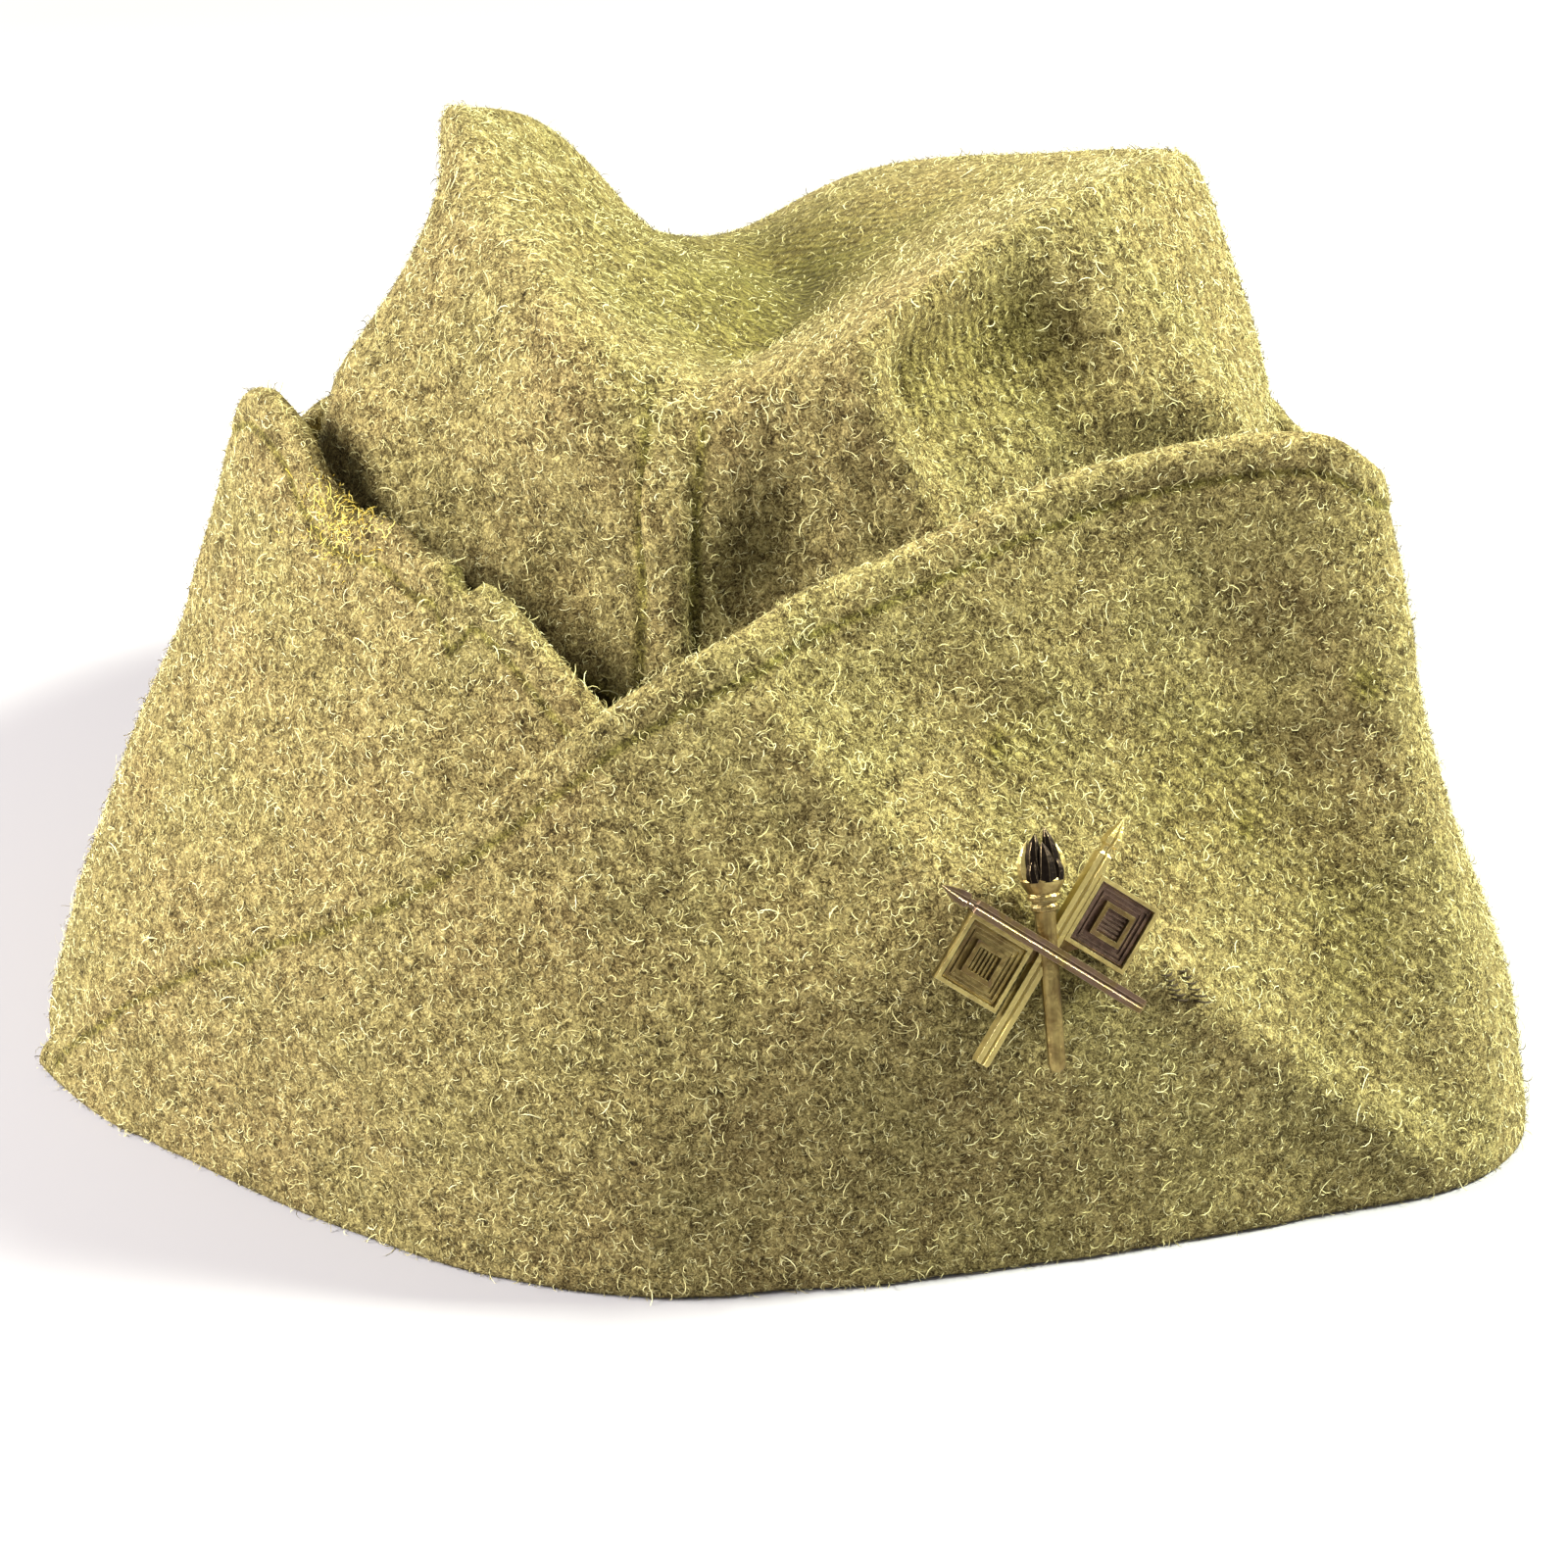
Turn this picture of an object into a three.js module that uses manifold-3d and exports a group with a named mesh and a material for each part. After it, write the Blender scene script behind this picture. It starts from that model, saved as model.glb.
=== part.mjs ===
// A wool garrison cap standing open on its rim, with a crossed-pennant badge on its turned-up flap.
// Millimetres, +Z up, front toward -Y, origin at the middle of the rim on the surface it stands on.
import * as THREE from "three";
import Module from "manifold-3d";

const wasm = await Module();
wasm.setup();

// Sizes of the cap
const LENGTH = 190;
const WIDTH = 182;
const FLAP_HEIGHT = 84;
const CROWN_HEIGHT = 104;
const CLOTH = 2.2;
const GAP = 0.3;
const SLACK = 10;
const TOP_DEPTH = 16;
const WELT_WIDTH = 5.3;
const WELT_RISE = 0.9;
const SEAM_GAP = 0.5;
const TOP_TUCK = 0.4;

// Sizes of the badge
const STAFF_LENGTH = 27;
const STAFF_WIDTH = 1.5;
const STAFF_POINT = 2.7;
const STAFF_LEAN = 45;
const TORCH_LENGTH = 25.5;
const TORCH_WIDTH = 2.4;
const PENNANT_SIDE = 7.6;
const PENNANT_CENTRE = 3;
const PENNANT_BORDER = 0.75;
const PENNANT_RELIEF = 0.42;
const PENNANT_TOP = 9.4;
const BADGE_PLATE = 0.9;
const BADGE_RELIEF = 0.7;
const BADGE_STANDOFF = 0.8;
const BADGE_HEIGHT = 38.4;
const BADGE_ANGLE = 27.8;
const BADGE_TURN = 7.5;
const TORCH_TURN = -7.5;
const POST_DIAMETER = 1.6;
const POST_SPACING = 13;
const CLASP_THICKNESS = 1.2;
const CLASP_WIDTH = 4;
const CLASP_SAG = 1.1;

const STEP = CLOTH + GAP;

// Facets: columns run round the cap, rows run up it
const CROWN_COLUMNS = 40;
const CROWN_ROWS = 12;
const OUTER_COLUMNS = 60;
const UNDER_COLUMNS = 52;
const FLAP_ROWS = 8;
const TOP_COLUMNS = 24;
const TOP_ROWS = 20;
const WELT_COLUMNS = 3;
const WELT_FIRST_ROW = 4;
const POST_SIDES = 10;

// Degrees from the front, positive toward +X. Outs are shares of the half length and half width.
// The flap's wall goes through four levels: rim, knee, trough and stand, the height it reaches there.
// Highs are shares of FLAP_HEIGHT.
const FLAP_WALL = [
  { angle: -150, rim: 0.95, knee: 0.93, kneeHigh: 0.22, trough: 0.88, troughHigh: 0.45, stand: 0.82, high: 0.69 },
  { angle: -122, rim: 0.955, knee: 0.9, kneeHigh: 0.22, trough: 0.83, troughHigh: 0.45, stand: 0.755, high: 0.66 },
  { angle: -102, rim: 0.975, knee: 0.9, kneeHigh: 0.22, trough: 0.81, troughHigh: 0.45, stand: 0.72, high: 0.65 },
  { angle: -87, rim: 0.98, knee: 0.905, kneeHigh: 0.22, trough: 0.8, troughHigh: 0.46, stand: 0.705, high: 0.67 },
  { angle: -72, rim: 1.0, knee: 0.905, kneeHigh: 0.24, trough: 0.785, troughHigh: 0.52, stand: 0.685, high: 0.76 },
  { angle: -58, rim: 1.055, knee: 0.975, kneeHigh: 0.26, trough: 0.84, troughHigh: 0.6, stand: 0.745, high: 0.9 },
  { angle: -48, rim: 1.04, knee: 0.975, kneeHigh: 0.26, trough: 0.85, troughHigh: 0.62, stand: 0.765, high: 0.965 },
  { angle: -36, rim: 1.0, knee: 0.955, kneeHigh: 0.26, trough: 0.855, troughHigh: 0.62, stand: 0.765, high: 0.93 },
  { angle: -22, rim: 0.99, knee: 0.96, kneeHigh: 0.26, trough: 0.88, troughHigh: 0.58, stand: 0.79, high: 0.87 },
  { angle: -10, rim: 1.0, knee: 0.975, kneeHigh: 0.26, trough: 0.9, troughHigh: 0.53, stand: 0.82, high: 0.8 },
  { angle: 0, rim: 1.0, knee: 0.98, kneeHigh: 0.26, trough: 0.915, troughHigh: 0.53, stand: 0.845, high: 0.77 },
  { angle: 10, rim: 0.974, knee: 0.955, kneeHigh: 0.38, trough: 0.88, troughHigh: 0.6, stand: 0.8, high: 0.84 },
  { angle: 24, rim: 0.965, knee: 0.955, kneeHigh: 0.44, trough: 0.85, troughHigh: 0.68, stand: 0.765, high: 0.92 },
  { angle: 37, rim: 0.99, knee: 0.975, kneeHigh: 0.39, trough: 0.85, troughHigh: 0.69, stand: 0.772, high: 0.97 },
  { angle: 48, rim: 1.042, knee: 1.015, kneeHigh: 0.3, trough: 0.88, troughHigh: 0.65, stand: 0.835, high: 1.0 },
  { angle: 58, rim: 1.12, knee: 1.1, kneeHigh: 0.21, trough: 0.99, troughHigh: 0.6, stand: 0.905, high: 0.945 },
  { angle: 64, rim: 1.125, knee: 1.085, kneeHigh: 0.19, trough: 0.955, troughHigh: 0.57, stand: 0.87, high: 0.89 },
  { angle: 72, rim: 1.06, knee: 1.02, kneeHigh: 0.19, trough: 0.872, troughHigh: 0.52, stand: 0.805, high: 0.81 },
  { angle: 88, rim: 0.935, knee: 0.885, kneeHigh: 0.18, trough: 0.805, troughHigh: 0.42, stand: 0.745, high: 0.69 },
  { angle: 108, rim: 0.885, knee: 0.86, kneeHigh: 0.22, trough: 0.79, troughHigh: 0.44, stand: 0.73, high: 0.64 },
  { angle: 130, rim: 0.875, knee: 0.86, kneeHigh: 0.22, trough: 0.81, troughHigh: 0.44, stand: 0.76, high: 0.67 },
  { angle: 154, rim: 0.915, knee: 0.9, kneeHigh: 0.22, trough: 0.85, troughHigh: 0.45, stand: 0.79, high: 0.69 },
  { angle: 180, rim: 1.0, knee: 0.98, kneeHigh: 0.22, trough: 0.93, troughHigh: 0.46, stand: 0.87, high: 0.71 },
];

// The crown above the flap. Slack is the share of SLACK by which it hangs clear of the flap's top edge,
// shoulder its out halfway up to the folded edge, ridge and ridgeHigh that edge, a share of CROWN_HEIGHT.
const CROWN_WALL = [
  { angle: -142, slack: 0.5, shoulder: 0.63, ridge: 0.545, ridgeHigh: 0.76 },
  { angle: -118, slack: 0.6, shoulder: 0.485, ridge: 0.455, ridgeHigh: 0.9 },
  { angle: -90, slack: 0.4, shoulder: 0.443, ridge: 0.45, ridgeHigh: 0.97 },
  { angle: -62, slack: 0.9, shoulder: 0.465, ridge: 0.43, ridgeHigh: 1.015 },
  { angle: -40, slack: 0.5, shoulder: 0.57, ridge: 0.48, ridgeHigh: 0.96 },
  { angle: -22, slack: 0.75, shoulder: 0.64, ridge: 0.56, ridgeHigh: 0.93 },
  { angle: -12, slack: 0.9, shoulder: 0.68, ridge: 0.64, ridgeHigh: 0.9 },
  { angle: 0, slack: 0.8, shoulder: 0.69, ridge: 0.63, ridgeHigh: 0.85 },
  { angle: 10, slack: 0.7, shoulder: 0.67, ridge: 0.64, ridgeHigh: 0.88 },
  { angle: 18, slack: 0.3, shoulder: 0.68, ridge: 0.655, ridgeHigh: 0.92 },
  { angle: 26, slack: 0.1, shoulder: 0.655, ridge: 0.58, ridgeHigh: 0.94 },
  { angle: 38, slack: 0.8, shoulder: 0.57, ridge: 0.53, ridgeHigh: 0.965 },
  { angle: 55, slack: 1.1, shoulder: 0.63, ridge: 0.53, ridgeHigh: 1.0 },
  { angle: 74, slack: 0.6, shoulder: 0.62, ridge: 0.53, ridgeHigh: 0.985 },
  { angle: 92, slack: 0.2, shoulder: 0.6, ridge: 0.51, ridgeHigh: 0.945 },
  { angle: 120, slack: 0.4, shoulder: 0.52, ridge: 0.43, ridgeHigh: 0.875 },
  { angle: 146, slack: 0.5, shoulder: 0.56, ridge: 0.45, ridgeHigh: 0.82 },
  { angle: 165, slack: 0.5, shoulder: 0.65, ridge: 0.53, ridgeHigh: 0.78 },
  { angle: 180, slack: 0.5, shoulder: 0.71, ridge: 0.61, ridgeHigh: 0.735 },
  { angle: 203, slack: 0.5, shoulder: 0.7, ridge: 0.64, ridgeHigh: 0.645 },
];

// Top edge of the outer flap, from its blunt end at the viewer's left to the back seam.
const OUTER_EDGE = [
  { angle: -54, high: 0.04 },
  { angle: -51, high: 0.115 },
  { angle: -46, high: 0.2 },
  { angle: -38, high: 0.31 },
  { angle: -28, high: 0.415 },
  { angle: -20, high: 0.495 },
  { angle: -12, high: 0.605 },
  { angle: -6, high: 0.69 },
  { angle: 0, high: 0.77 },
  { angle: 10, high: 0.84 },
  { angle: 26, high: 0.925 },
  { angle: 43, high: 0.99 },
  { angle: 53, high: 1.0 },
  { angle: 60, high: 0.945 },
  { angle: 72, high: 0.81 },
  { angle: 90, high: 0.68 },
  { angle: 110, high: 0.64 },
  { angle: 140, high: 0.66 },
  { angle: 180, high: 0.71 },
];

// Top edge of the under flap, from the back seam to its hidden end behind the outer flap.
const UNDER_EDGE = [
  { angle: -180, high: 0.71 },
  { angle: -140, high: 0.66 },
  { angle: -110, high: 0.65 },
  { angle: -88, high: 0.67 },
  { angle: -72, high: 0.76 },
  { angle: -58, high: 0.9 },
  { angle: -48, high: 0.965 },
  { angle: -41, high: 0.945 },
  { angle: -36, high: 0.895 },
  { angle: -20, high: 0.85 },
  { angle: -13, high: 0.81 },
  { angle: -6, high: 0.73 },
  { angle: 0, high: 0.66 },
  { angle: 10, high: 0.55 },
  { angle: 20, high: 0.36 },
  { angle: 30, high: 0.22 },
  { angle: 44, high: 0.08 },
];

// The valley of the folded top, as shares across it and along it from front to back.
const VALLEY = [
  { along: 0, bottom: 0.5, sink: 0 },
  { along: 0.2, bottom: 0.5, sink: 0.75 },
  { along: 0.5, bottom: 0.47, sink: 1 },
  { along: 0.8, bottom: 0.42, sink: 0.6 },
  { along: 1, bottom: 0.4, sink: 0 },
];

// Outlines of the torch, as shares of half its width and half its length from its middle.
const TORCH_HANDLE = [
  { across: -0.35, high: -1 },
  { across: 0.35, high: -1 },
  { across: 1, high: 0.42 },
  { across: -1, high: 0.42 },
];
const TORCH_CUP = [
  { across: -1.5, high: 0.42 },
  { across: 1.5, high: 0.42 },
  { across: 1.9, high: 0.62 },
  { across: -1.9, high: 0.62 },
];
const TORCH_FLAME = [
  { across: -1.4, high: 0.6 },
  { across: 1.4, high: 0.6 },
  { across: 1.8, high: 0.78 },
  { across: 1.1, high: 0.92 },
  { across: 0.7, high: 0.84 },
  { across: 0, high: 1 },
  { across: -0.8, high: 0.86 },
  { across: -1.5, high: 0.95 },
  { across: -1.7, high: 0.76 },
];

// Angles between which each part of the cap runs, and where the top's four corners lie.
const FLAP_END = -54;
const FLAP_TUCK_START = -88;
const FLAP_TUCK_END = -58;
const UNDER_END = 44;
const TOP_CORNERS = { frontLeft: -14, frontRight: 18, backRight: 150, backLeft: 222 };

const ease = (t) => {
  const s = Math.min(1, Math.max(0, t));
  return s * s * (3 - 2 * s);
};
const radians = (degrees) => (degrees * Math.PI) / 180;
const mix = (a, b, t) => a + (b - a) * t;

// The value at x of a smooth curve through the knots (xs, ys).
function through(xs, ys, x) {
  const last = xs.length - 1;
  let i = 0;
  while (i < last - 1 && x > xs[i + 1]) i += 1;
  const slope = (k) => {
    const a = Math.max(0, k - 1);
    const b = Math.min(last, k + 1);
    return (ys[b] - ys[a]) / (xs[b] - xs[a]);
  };
  const span = xs[i + 1] - xs[i];
  const t = Math.min(1, Math.max(0, (x - xs[i]) / span));
  const t2 = t * t;
  const t3 = t2 * t;
  return (
    (2 * t3 - 3 * t2 + 1) * ys[i] +
    (t3 - 2 * t2 + t) * span * slope(i) +
    (3 * t2 - 2 * t3) * ys[i + 1] +
    (t3 - t2) * span * slope(i + 1)
  );
}

// A column of an open table at one angle.
const along = (table, key, column) => {
  const xs = table.map((row) => row[key]);
  const ys = table.map((row) => row[column]);
  return (x) => through(xs, ys, x);
};

// A column of a table that closes on itself, at any angle.
function around(table, column) {
  const rows = [-360, 0, 360].flatMap((turn) =>
    table.map((row) => ({ angle: row.angle + turn, value: row[column] })),
  );
  const inTurn = along(rows, "angle", "value");
  return (angle) => inTurn(angle);
}

const flap = {};
for (const column of ["rim", "knee", "kneeHigh", "trough", "troughHigh", "stand", "high"])
  flap[column] = around(FLAP_WALL, column);
const crown = {};
for (const column of ["slack", "shoulder", "ridge", "ridgeHigh"])
  crown[column] = around(CROWN_WALL, column);
const outerEdge = along(OUTER_EDGE, "angle", "high");
const underEdge = along(UNDER_EDGE, "angle", "high");

// The rim's raw outline, measured so that LENGTH and WIDTH are the cap's true length and width.
const rimBox = new THREE.Box2();
for (let angle = -180; angle < 180; angle += 1)
  rimBox.expandByPoint(rawPlan(angle, flap.rim(angle)));
const rimSize = rimBox.getSize(new THREE.Vector2());
const rimMiddle = rimBox.getCenter(new THREE.Vector2());

function rawPlan(angle, out) {
  return new THREE.Vector2(out * Math.sin(radians(angle)), -out * Math.cos(radians(angle)));
}

function place(angle, out, z) {
  const raw = rawPlan(angle, out).sub(rimMiddle);
  return new THREE.Vector3((raw.x * WIDTH) / rimSize.x, (raw.y * LENGTH) / rimSize.y, z);
}

// Outer face of the turned-up flap at an angle and a height.
function flapFace(angle, z) {
  const heights = [0, flap.kneeHigh(angle), flap.troughHigh(angle), flap.high(angle)];
  const outs = [flap.rim(angle), flap.knee(angle), flap.trough(angle), flap.stand(angle)];
  return place(angle, through(heights.map((h) => h * FLAP_HEIGHT), outs, z), z);
}

// A point moved level into a face, by a depth measured square to that face.
function inward(face, angle, z, depth) {
  const here = face(angle, z);
  const round = face(angle + 1, z).sub(face(angle - 1, z));
  const up = face(angle, z + 1).sub(face(angle, z - 1));
  const square = new THREE.Vector3().crossVectors(round, up).normalize();
  const level = Math.hypot(square.x, square.y);
  return here.sub(new THREE.Vector3(square.x / level, square.y / level, 0).multiplyScalar(depth / level));
}

// Outer face of the under flap: one layer in where the outer flap lies over it.
const underFace = (angle, z) => {
  const tuck = ease((angle - FLAP_TUCK_START) / (FLAP_TUCK_END - FLAP_TUCK_START));
  return inward(flapFace, angle, z, STEP * tuck);
};

// Outer face of the crown: inside both flaps up to their height, then up to the folded edge.
function crownLow(angle, z) {
  const stand = flap.high(angle) * FLAP_HEIGHT;
  const slack = SLACK * crown.slack(angle) * ease(z / stand);
  const inner = inward(flapFace, angle, z, 2 * STEP);
  const level = Math.hypot(inner.x, inner.y);
  return inner.multiply(new THREE.Vector3(1 - slack / level, 1 - slack / level, 1));
}

const ridgeHeight = (angle) => crown.ridgeHigh(angle) * CROWN_HEIGHT;

function crownFace(angle, z) {
  const stand = flap.high(angle) * FLAP_HEIGHT;
  if (z <= stand) return crownLow(angle, z);
  const ridge = ridgeHeight(angle);
  const middle = (stand + ridge) / 2;
  const below = stand - (ridge - stand) / 2;
  const knots = [
    crownLow(angle, below),
    crownLow(angle, stand),
    place(angle, crown.shoulder(angle), middle),
    place(angle, crown.ridge(angle), ridge),
  ];
  const heights = [below, stand, middle, ridge];
  const at = (axis) => through(heights, knots.map((knot) => knot[axis]), z);
  return new THREE.Vector3(at("x"), at("y"), z);
}

// A closed sheet from two grids of points, front (facing out) and back, of the same rows and columns.
function sheet(front, back) {
  const rows = front.length;
  const columns = front[0].length;
  const points = [...front.flat(), ...back.flat()];
  const faces = [];
  const at = (side, i, j) => side * rows * columns + i * columns + j;
  const quad = (a, b, c, d) => faces.push(a, b, c, a, c, d);
  for (let i = 0; i + 1 < rows; i += 1)
    for (let j = 0; j + 1 < columns; j += 1) {
      quad(at(0, i, j), at(0, i, j + 1), at(0, i + 1, j + 1), at(0, i + 1, j));
      quad(at(1, i, j), at(1, i + 1, j), at(1, i + 1, j + 1), at(1, i, j + 1));
    }
  for (let j = 0; j + 1 < columns; j += 1) {
    quad(at(1, 0, j), at(1, 0, j + 1), at(0, 0, j + 1), at(0, 0, j));
    quad(at(0, rows - 1, j), at(0, rows - 1, j + 1), at(1, rows - 1, j + 1), at(1, rows - 1, j));
  }
  for (let i = 0; i + 1 < rows; i += 1) {
    quad(at(0, i, 0), at(0, i + 1, 0), at(1, i + 1, 0), at(1, i, 0));
    quad(at(1, i, columns - 1), at(1, i + 1, columns - 1), at(0, i + 1, columns - 1), at(0, i, columns - 1));
  }
  const geometry = new THREE.BufferGeometry().setFromPoints(points);
  geometry.setIndex(faces);
  return geometry;
}

// A standing cloth wall between two angles, from the surface up to a top height, and CLOTH thick.
// Each end stops half a gap short of its angle, so that two walls meet at a seam without touching.
function wall(face, start, end, top, columns, rows) {
  const grid = (depth) =>
    Array.from({ length: rows + 1 }, (_, i) =>
      Array.from({ length: columns + 1 }, (_, j) => {
        const angle = mix(start, end, j / columns);
        const z = (top(angle) * i) / rows;
        const point = inward(face, angle, z, depth);
        const short = j === 0 ? SEAM_GAP / 2 : j === columns ? -SEAM_GAP / 2 : 0;
        const round = face(angle + 1, z).sub(face(angle - 1, z)).normalize();
        return point.addScaledVector(round, short);
      }),
    );
  return sheet(grid(0), grid(CLOTH));
}

// The folded top: a patch between the inner faces of the crown's walls, sunk along its valley.
function topPoint(u, v, drop) {
  const { frontLeft, frontRight, backRight, backLeft } = TOP_CORNERS;
  const edge = (angle) => {
    const z = ridgeHeight(angle) - GAP;
    return inward(crownFace, angle, z, CLOTH + GAP + drop * TOP_TUCK);
  };
  const front = (s) => edge(mix(frontLeft, frontRight, s));
  const back = (s) => edge(mix(backLeft, backRight, s));
  const left = (t) => edge(mix(frontLeft, backLeft - 360, t));
  const right = (t) => edge(mix(frontRight, backRight, t));
  const point = left(v).multiplyScalar(1 - u).add(right(v).multiplyScalar(u));
  point.add(front(u).multiplyScalar(1 - v)).add(back(u).multiplyScalar(v));
  point.sub(front(0).multiplyScalar((1 - u) * (1 - v))).sub(front(1).multiplyScalar(u * (1 - v)));
  point.sub(back(0).multiplyScalar((1 - u) * v)).sub(back(1).multiplyScalar(u * v));
  const bottom = valleyBottom(v);
  const toBottom = u < bottom ? u / bottom : (1 - u) / (1 - bottom);
  point.z -= TOP_DEPTH * valleySink(v) * ease(toBottom) + drop * CLOTH;
  return point;
}

const valleyBottom = along(VALLEY, "along", "bottom");
const valleySink = along(VALLEY, "along", "sink");

function topSheet() {
  const grid = (drop) =>
    Array.from({ length: TOP_ROWS + 1 }, (_, i) =>
      Array.from({ length: TOP_COLUMNS + 1 }, (_, j) => topPoint(j / TOP_COLUMNS, i / TOP_ROWS, drop)),
    );
  return sheet(grid(0), grid(1));
}

// The raised strip over the front seam of the crown, from behind the flaps up to the fold.
function weltSheet() {
  const rows = CROWN_ROWS - WELT_FIRST_ROW;
  const halfAngle = (THREE.MathUtils.RAD2DEG * WELT_WIDTH) / LENGTH;
  const grid = (rise) =>
    Array.from({ length: rows + 1 }, (_, i) =>
      Array.from({ length: WELT_COLUMNS + 1 }, (_, j) => {
        const angle = mix(-halfAngle, halfAngle, j / WELT_COLUMNS);
        const top = i === rows ? WELT_RISE : 0;
        const z = (ridgeHeight(angle) * (WELT_FIRST_ROW + i)) / CROWN_ROWS - top;
        return inward(crownFace, angle, z, -GAP - rise);
      }),
    );
  return sheet(grid(WELT_RISE), grid(0));
}

// A geometry as a solid that can be added to or cut.
function solid(geometry) {
  const source = geometry.index ? geometry.toNonIndexed() : geometry;
  const count = source.attributes.position.count;
  const mesh = new wasm.Mesh({
    numProp: 3,
    vertProperties: new Float32Array(source.attributes.position.array),
    triVerts: new Uint32Array(count).map((_, i) => i),
  });
  mesh.merge();
  return new wasm.Manifold(mesh);
}

function geometryOf(made) {
  const mesh = made.getMesh();
  return new THREE.BufferGeometry()
    .setAttribute("position", new THREE.BufferAttribute(new Float32Array(mesh.vertProperties), 3))
    .setIndex(new THREE.BufferAttribute(new Uint32Array(mesh.triVerts), 1));
}

// The badge's own axes: u along the flap, v up it and w out of it, through its place on the cloth.
const badgePlace = flapFace(BADGE_ANGLE, BADGE_HEIGHT);
const badgeSpan = POST_SPACING / 2;
const badgeDegrees = (THREE.MathUtils.RAD2DEG * badgeSpan * 2) / LENGTH;
const flapAlong = flapFace(BADGE_ANGLE + badgeDegrees, BADGE_HEIGHT).sub(
  flapFace(BADGE_ANGLE - badgeDegrees, BADGE_HEIGHT),
);
const flapUp = flapFace(BADGE_ANGLE, BADGE_HEIGHT + badgeSpan).sub(
  flapFace(BADGE_ANGLE, BADGE_HEIGHT - badgeSpan),
);
const badgeOut = new THREE.Vector3().crossVectors(flapAlong, flapUp).normalize();
const badgeAlong = flapAlong.normalize().applyAxisAngle(badgeOut, radians(BADGE_TURN));
const badgeUp = new THREE.Vector3().crossVectors(badgeOut, badgeAlong);
const badgeFrame = new THREE.Matrix4()
  .makeBasis(badgeAlong, badgeUp, badgeOut)
  .setPosition(badgePlace.clone().addScaledVector(badgeOut, BADGE_STANDOFF));

// A flat outline of points, extruded out of the badge's plane.
function plate(outline, depth) {
  const shape = new THREE.Shape(outline.map(([x, y]) => new THREE.Vector2(x, y)));
  return new THREE.ExtrudeGeometry(shape, { depth, bevelEnabled: false });
}

function staff(degrees) {
  const half = STAFF_LENGTH / 2;
  const side = STAFF_WIDTH / 2;
  const outline = [
    [-side, -half],
    [side, -half],
    [side, half - STAFF_POINT],
    [0, half],
    [-side, half - STAFF_POINT],
  ];
  return solid(plate(outline, BADGE_PLATE + BADGE_RELIEF).rotateZ(radians(degrees)));
}

// A pennant hangs outside its staff, near the staff's point, with a raised border and centre.
function pennant(degrees, side) {
  const middle = [(side * (PENNANT_SIDE + STAFF_WIDTH)) / 2, PENNANT_TOP - PENNANT_SIDE / 2];
  const square = (width, bottom, top) =>
    solid(
      new THREE.BoxGeometry(width, width, top - bottom)
        .translate(...middle, (bottom + top) / 2)
        .rotateZ(radians(degrees)),
    );
  const face = BADGE_PLATE + PENNANT_RELIEF;
  const field = PENNANT_SIDE - 2 * PENNANT_BORDER;
  return square(PENNANT_SIDE, 0, face)
    .subtract(square(field, BADGE_PLATE, face + PENNANT_RELIEF))
    .add(square(PENNANT_CENTRE, 0, face));
}

// The torch: a tapered handle, a cup that stands proud of it and a flame of three tongues.
function torch() {
  const part = (outline, depth) => {
    const points = outline.map(({ across, high }) => [(across * TORCH_WIDTH) / 2, (high * TORCH_LENGTH) / 2]);
    return solid(plate(points, depth));
  };
  const thick = BADGE_PLATE + BADGE_RELIEF * 2;
  return part(TORCH_HANDLE, thick)
    .add(part(TORCH_CUP, thick + BADGE_RELIEF))
    .add(part(TORCH_FLAME, thick))
    .rotate([0, 0, TORCH_TURN]);
}

const claspDepth = BADGE_STANDOFF + CLOTH + GAP + CLASP_SAG;
const postLength = claspDepth + CLASP_THICKNESS + GAP;

function posts(radius, from, to) {
  const pin = (x) =>
    solid(
      new THREE.CylinderGeometry(radius, radius, to - from, POST_SIDES)
        .rotateX(Math.PI / 2)
        .translate(x, 0, (from + to) / 2),
    );
  return pin(-POST_SPACING / 2).add(pin(POST_SPACING / 2));
}

// The posts start inside a bridge bar that lies across the back of the badge.
const bridge = solid(
  new THREE.BoxGeometry(POST_SPACING + CLASP_WIDTH / 2, POST_DIAMETER, BADGE_PLATE).translate(0, 0, BADGE_PLATE / 2),
);
const badgeSolid = staff(STAFF_LEAN)
  .add(staff(-STAFF_LEAN))
  .add(pennant(STAFF_LEAN, -1))
  .add(pennant(-STAFF_LEAN, 1))
  .add(torch())
  .add(bridge)
  .add(posts(POST_DIAMETER / 2, -postLength, BADGE_PLATE / 2));

const holes = posts(POST_DIAMETER / 2 + GAP, -postLength * 2, 0);
const claspBar = solid(
  new THREE.BoxGeometry(POST_SPACING + CLASP_WIDTH, CLASP_WIDTH, CLASP_THICKNESS).translate(
    0,
    0,
    -claspDepth - CLASP_THICKNESS / 2,
  ),
).subtract(holes);

const inFrame = (made) => geometryOf(made).applyMatrix4(badgeFrame);
const outerTop = (angle) => outerEdge(angle) * FLAP_HEIGHT;
const underTop = (angle) => underEdge(angle) * FLAP_HEIGHT;
const outerFlap = wall(flapFace, FLAP_END, 180, outerTop, OUTER_COLUMNS, FLAP_ROWS);
const underFlap = wall(underFace, -180, UNDER_END, underTop, UNDER_COLUMNS, FLAP_ROWS);
const piercedFlap = geometryOf(solid(outerFlap).subtract(solid(inFrame(holes))));

const crownSide = (start, end) => wall(crownFace, start, end, ridgeHeight, CROWN_COLUMNS, CROWN_ROWS);

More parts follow.
